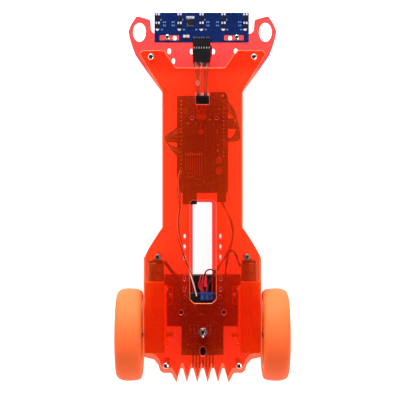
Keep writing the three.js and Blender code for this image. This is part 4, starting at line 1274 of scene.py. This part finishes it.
def make_wheel(side, sign):
    hub_at = Matrix.Translation((sign * TRACK, *AXLE)) @ quarter(sign)
    make_tyre(side, hub_at)
    make_rim(side, hub_at)


def make_tyre(side, hub_at):
    inner = [(36, -12.4), (36.5, -13), (41.9, -13), (43.9, -12.4), (45.3, -11), (46.1, -8.6), (46.6, -5.6)]
    crown = [(46.9, -2), (47, 2), (46.8, 4.6), (46.2, 7.6), (45.2, 10), (43.6, 11.9), (41.4, 12.9)]
    tyre = Shape("tyre", hub_at)
    tyre.turned([*inner, *crown, (36.5, 13), (36, 12.4), inner[0]], 112)
    tyre.piece("silicone_tyre_" + side, "orange_rubber", "tyre_" + side, body=side + "_wheel")


def make_rim(side, hub_at):
    """A hoop with a rolled bead, a spoked web, the hub's two bosses and the screw in its middle."""
    rim = Shape("hub steel bead", hub_at)
    outer = [(35.7, -12), (35.7, 12), (34.9, 12.4), (33.6, 12.4), (32.6, 11.6), (32.3, 10)]
    # The hoop and its rolled bead take the amber bead finish, with its painted glow
    rim.turned([*outer, (32.3, -10), (32.6, -11.6), (33.6, -12.4), (34.9, -12.4), outer[0]], 96, "bead")
    windows = []
    for spoke in range(SPOKES):
        wide = [(29.3, -0.46 + k * 0.92 / 10) for k in range(11)]
        narrow = [(10.5, 0.3 - k * 0.6 / 4) for k in range(5)]
        start = spoke * TURN / SPOKES
        corners = [(r * math.cos(a + start), r * math.sin(a + start)) for r, a in wide + narrow]
        windows.append(rounded(corners, 2.2, 3))
    rim.sheet(ring((0, 0), 32.6, 96), [*windows, ring((0, 0), 3, 32)], -1, 4, 0.7)
    rim.turned([(3, -12.8), (6, -12.8), (6.5, -12.3), (6.9, -2), (8, -0.8), (3, -0.8), (3, -12.8)], 48)
    rim.turned([(3, 3.8), (8, 3.8), (6.9, 4.6), (6.4, 5.6), (6, 6), (3, 6), (3, 3.8)], 48)
    rim.turned([(12.2, 3.9), (12.2, 4.5), (11.4, 4.5), (11.4, 3.9), (12.2, 3.9)], 48)
    rim.turned([(2.4, 3.4), (2.4, 4.6), (0, 4.6)], 24, "steel")
    rim.piece("spoked_rim_" + side, "hub_plastic", "rim_" + side, body=side + "_wheel")


# ---- Switch ----
def make_switch():
    """The switch's case under the top plate with its threaded neck, and its nut and lever."""
    low, high = span("switch_body")
    cx, cy = SWITCH_AT
    body = Shape("plated black")
    for foot, ceiling, bevel in ((11.3, 1, 0.3), (1, 0.3, 0.1)):
        low_corner = (cx - 4, cy - 6.5, TOP_FOOT - foot)
        body.block(low_corner, (cx + 4, cy + 6.5, TOP_FOOT - ceiling), bevel, "black")
    for y in (-4, 0, 4):
        body.block((cx - 1, cy + y - 0.4, low.z), (cx + 1, cy + y + 0.4, TOP_FOOT - 11), 0.1)
    body.at = placed(cx, cy, 0)
    step, start = 0.35, TOP_FOOT - 1
    thread = [(3 - 0.22 * (k % 2), start + k * step) for k in range(int((high.z - start) / step))]
    mouth = [(2.9, high.z - 0.1), (2.6, high.z), (2.5, high.z - 0.3), (2.5, TOP_ROOF + 3)]
    body.turned([*thread, *mouth], 32)
    # A black lining and floor inside the neck: painted shade in its bore
    shaded_bore = [(2.5, 0.9), (2.5, high.z - TOP_ROOF - 0.4), (2.3, high.z - TOP_ROOF - 0.4), (2.3, 1.2), (0, 1.2)]
    body.turned([(r, TOP_ROOF + rise) for r, rise in shaded_bore], 32, "black")
    body.piece("toggle_body", "black_plastic", "switch_body")

    nut = Shape("can")
    low, high = span("switch_nut")
    nut.sheet(ring((cx, cy), 4.6, 6), [ring((cx, cy), 3.2, 32)], low.z, high.z, 0.25)
    nut.piece("toggle_nut", "steel", "switch_nut")

    pivot, lean = 72, math.radians(12)
    lever = Shape("steel", placed(cx, cy, pivot) @ Matrix.Rotation(lean, 4, "X"))
    stem = [(0, -1.6), (1, -1.4), (1.5, -0.6), (1.6, 0), (1.4, 0.8), (1.05, 1.5), (1.05, 9), (1.25, 10.8)]
    lever.turned([*stem, (1.5, 12.2), (1.45, 13.1), (1.1, 13.7), (0.5, 13.97), (0, 14)], 32)
    lever.piece("toggle_lever", "steel", "switch_lever", body="toggle")


# ---- Caster ----
def make_caster():
    """The steel cup with its flange, the two screws that hold it, and the ball."""
    low, high = span("caster_cup")
    centre = middle("caster_ball")
    lip, roof = low.z - centre.z, high.z - centre.z
    inside = [(0, 8.5), (4.4, 7.3), (7, 4.8), (8.25, 1.6), (8.4, 0), (8.1, lip + 0.1)]
    outside = [(9, lip), (10, lip + 0.6), (10.5, lip + 2), (10.6, 8), (10.2, 10.4), (10.5, 12)]
    cup = Shape("can", placed(*centre))
    cup.turned([*inside, *outside, (10.5, roof - 0.2), (10.2, roof), (0, roof)], 48)
    cup.at = Matrix.Identity(4)
    flange = [(-6.4, 134), (6.4, 134), (6.4, 166), (-6.4, 166)]
    cup.slab(rounded(flange, 6, 8), high.z - 2, high.z, 0.3)
    cup.piece("caster_housing", "steel", "caster_cup")

    screws = Shape("steel")
    rear, front = centre.y - 12.4, centre.y + 12.4
    for y in (rear, front):
        screws.at = placed(centre.x, y, high.z - 2, 0.3, -1)
        screw_head(screws, 2.6, 1.7)
    screws.at = placed(centre.x, rear, LOWER_ROOF + 0.1)
    screws.slab(ring((0, 0), 2.9, 6), 0, 2.2, 0.25)
    screws.piece("caster_screws", "steel")

    radius, rows = 8, 24
    turns = [math.pi * k / rows for k in range(1, rows)]
    profile = [(radius * math.sin(a), -radius * math.cos(a)) for a in turns]
    ball = Shape("steel", placed(*centre))
    ball.turned([(0, -radius), *profile, (0, radius)], 48)
    ball.piece("steel_ball", "steel", "caster_ball", body="caster")


# ---- Wires ----
CONTROL_ROUTE = [
    (-21.6, 26.4, 48), (-24.2, 16, 47), (-24, 3, 47), (-22.4, -9, 46), (-24.2, -22, 45),
    (-24.6, -34, 44.4), (-22.8, -46, 44), (-19.2, -59, 44), (-15.4, -71, 44), (-12, -80, 44),
    (-9, -91.4, 44.4), (-6.6, -103, 44.6),
]
POWER_ROUTE = [
    (19.6, -7.4, 48), (24, -15, 47.6), (29.4, -26, 46.6), (31.2, -37, 46), (29.4, -49, 46),
    (24.4, -60.6, 46), (18.6, -70, 46), (12, -80, 45.6), (6.4, -90, 45), (4.6, -98.3, 44.8),
]
RIGHT_MOTOR_ROUTE = [
    (38.2, -72, 50), (35.4, -64, 51), (31.6, -56.6, 52), (27.4, -57.4, 52), (25, -66, 51),
    (23.6, -80, 48), (24.6, -96, 45.4), (24.2, -109, 44.8), (21.9, -114.2, 44.8),
]
LEFT_MOTOR_ROUTE = [
    (-38.3, -67, 50), (-36, -70.6, 51), (-32.4, -75.4, 51), (-28, -81, 50), (-24.8, -88, 48.4),
    (-23.6, -97, 46), (-24.4, -109, 44.8), (-21.9, -114.2, 44.8),
]


def strands(shape, route, radius, spread, count, twist):
    """Insulated wires that run side by side along a route and turn slowly about it."""
    line = catmull(route, 8)
    for k in range(count):
        run = []
        for i, here in enumerate(line):
            way = heading(line, i)
            side = way.cross(Vector((0, 0, 1))).normalized()
            angle = TURN * k / count + twist * TURN * i / len(line)
            run.append(here + (side * math.cos(angle) + side.cross(way) * math.sin(angle)) * spread)
        shape.tube(run, radius, 10, shape.looks[k % len(shape.looks)])


# Each CAD cable as the wires it stands for: name, route, colours, and their radius, spread, count and twist
LEADS = {
    "control_cable": ("control_wires", CONTROL_ROUTE, "wire_white wire_black", 0.62, 0.85, 4, 1.4),
    "power_cable": ("power_wires", POWER_ROUTE, "wire_red wire_black", 0.75, 0.75, 2, 2),
    "motor_cable_left": ("motor_wires_left", LEFT_MOTOR_ROUTE, "wire_brown wire_black", 0.65, 1.2, 4, 3),
    "motor_cable_right": ("motor_wires_right", RIGHT_MOTOR_ROUTE, "wire_brown wire_black", 0.65, 0.66, 2, 3),
}


def make_wires():
    for node, (name, route, looks, *lay) in LEADS.items():
        lead = Shape(looks)
        strands(lead, route, *lay)
        lead.piece(name, "wire", node)


COLOURS = ("wire_black", "wire_brown", "wire_black", "wire_grey")  # in the order that the jumpers take them


def make_jumpers():
    """Jumper wires that loop out beside the controller, and the battery's leads and pull ribbon."""
    make_right_jumpers()
    make_left_jumpers()
    make_battery_leads()


def make_right_jumpers():
    right = Shape("wire_black wire_brown wire_grey")
    for k in range(6):
        run = [
            (21.4, 97 - 2.5 * k, 52),
            (22.6 + 0.6 * k, 96 - 2.6 * k, 56),
            (28 + 0.9 * k, 92 - 2.8 * k, 57),
            (33.4 + 0.5 * k, 84 - 2.2 * k, 54 - 0.5 * k),
            (34.6 + 0.5 * k, 76 - 1.6 * k, 51),
            (34.4 + 0.7 * k, 66 - 1.6 * k, 50 + 0.4 * k),
            (31 + 0.4 * k, 59.6 - 0.9 * k, 51 + 0.4 * k),
            (26.4, 57.6 - 0.6 * k, 53),
            (21.4, 60 - 2.5 * k, 52),
        ]
        right.tube(catmull(run, 6), 0.72, 8, COLOURS[k % 4])
    for k in range(4):
        right.block((25.4, 68 + 2.7 * k, 46 + k % 2), (35.4 - k, 70.5 + 2.7 * k, 48.5 + k % 2), 0.25)
    right.piece("jumper_wires_right", "wire")


def make_left_jumpers():
    left = Shape("wire_black wire_brown wire_grey")
    for k in range(5):
        run = [
            (-21.4, 70 - 2.5 * k, 52),
            (-24.6, 69 - 2.4 * k, 56),
            (-30 - 0.5 * k, 65 - 1.6 * k, 54),
            (-37.4 + 0.5 * k, 59.6 - 1.4 * k, 50),
            (-35 + 0.8 * k, 52.6 - 1.2 * k, 50),
            (-27.4, 48.6 - 1.6 * k, 54),
            (-21.4, 48 - 2.4 * k, 52),
        ]
        left.tube(catmull(run, 6), 0.72, 8, left.looks[k % 3])
    for k in range(3):
        left.block((-34.4 + k, 54.2 + 2.7 * k, 46), (-25.6, 56.7 + 2.7 * k, 48.5), 0.25)
    left.piece("jumper_wires_left", "wire")


def make_battery_leads():
    loop = Shape("wire_black wire_red ribbon")
    arc = [(0.2, -99, 44.6), (0.8, -90, 45.4), (2.8, -79, 48), (6.6, -75.4, 50.4), (11, -76.2, 50.4)]
    loop.tube(catmull([*arc, (14.2, -80, 48), (15.4, -88, 45), (15, -97, 43.6)], 8), 0.8, 10)
    for k in range(3):
        start = [(4.4 - 3 * k, -80 - k, 46), (2.6 - 2.6 * k, -86, 46.6)]
        run = [*start, (-0.6 - 1.6 * k, -92, 45.6), (1.4 - k, -99, 44.6)]
        loop.tube(catmull(run, 8), 0.7, 10, "wire_red")
    ribbon = [(4.7, -94.6), (4.7, -81.6), (3.4, -81.2), (0.6, -88), (-1.6, -94.6)]
    loop.slab(ribbon, 30.8, 31.4, 0.12, "ribbon")
    loop.piece("battery_leads", "wire")


# ---- Floor ----
def make_floor():
    look = Look("pale_floor")
    cloud = look.noise(1.5, 2)
    tone = look.mixed(look.between(cloud, 0, 1), (0.9, 0.9, 0.9, 1), (0.93, 0.93, 0.93, 1))
    inputs = {
        "Base Color": tone,
        "Roughness": look.between(cloud, 0.6, 0.7),
        "Emission Color": (1, 1, 1, 1),
        "Emission Strength": 0.8,
    }
    material = look.surface(inputs)
    mesh = bpy.data.meshes.new("floor")
    half = 6.0
    corners = [(-half, -half, 0), (half, -half, 0), (half, half, 0), (-half, half, 0)]
    mesh.from_pydata(corners, [], [(0, 1, 2, 3)])
    mesh.materials.append(material)
    floor = bpy.data.objects.new("floor", mesh)
    bpy.context.scene.collection.objects.link(floor)


make_camera()
make_light()
make_floor()
make_plates()
make_fasteners()
make_sensor_board()
make_sensor_lead()
make_controller()
make_driver()
make_battery()
for side_name, side_sign in SIDES.items():
    make_motor(side_name, side_sign)
    make_wheel(side_name, side_sign)
make_switch()
make_caster()
make_wires()
make_jumpers()
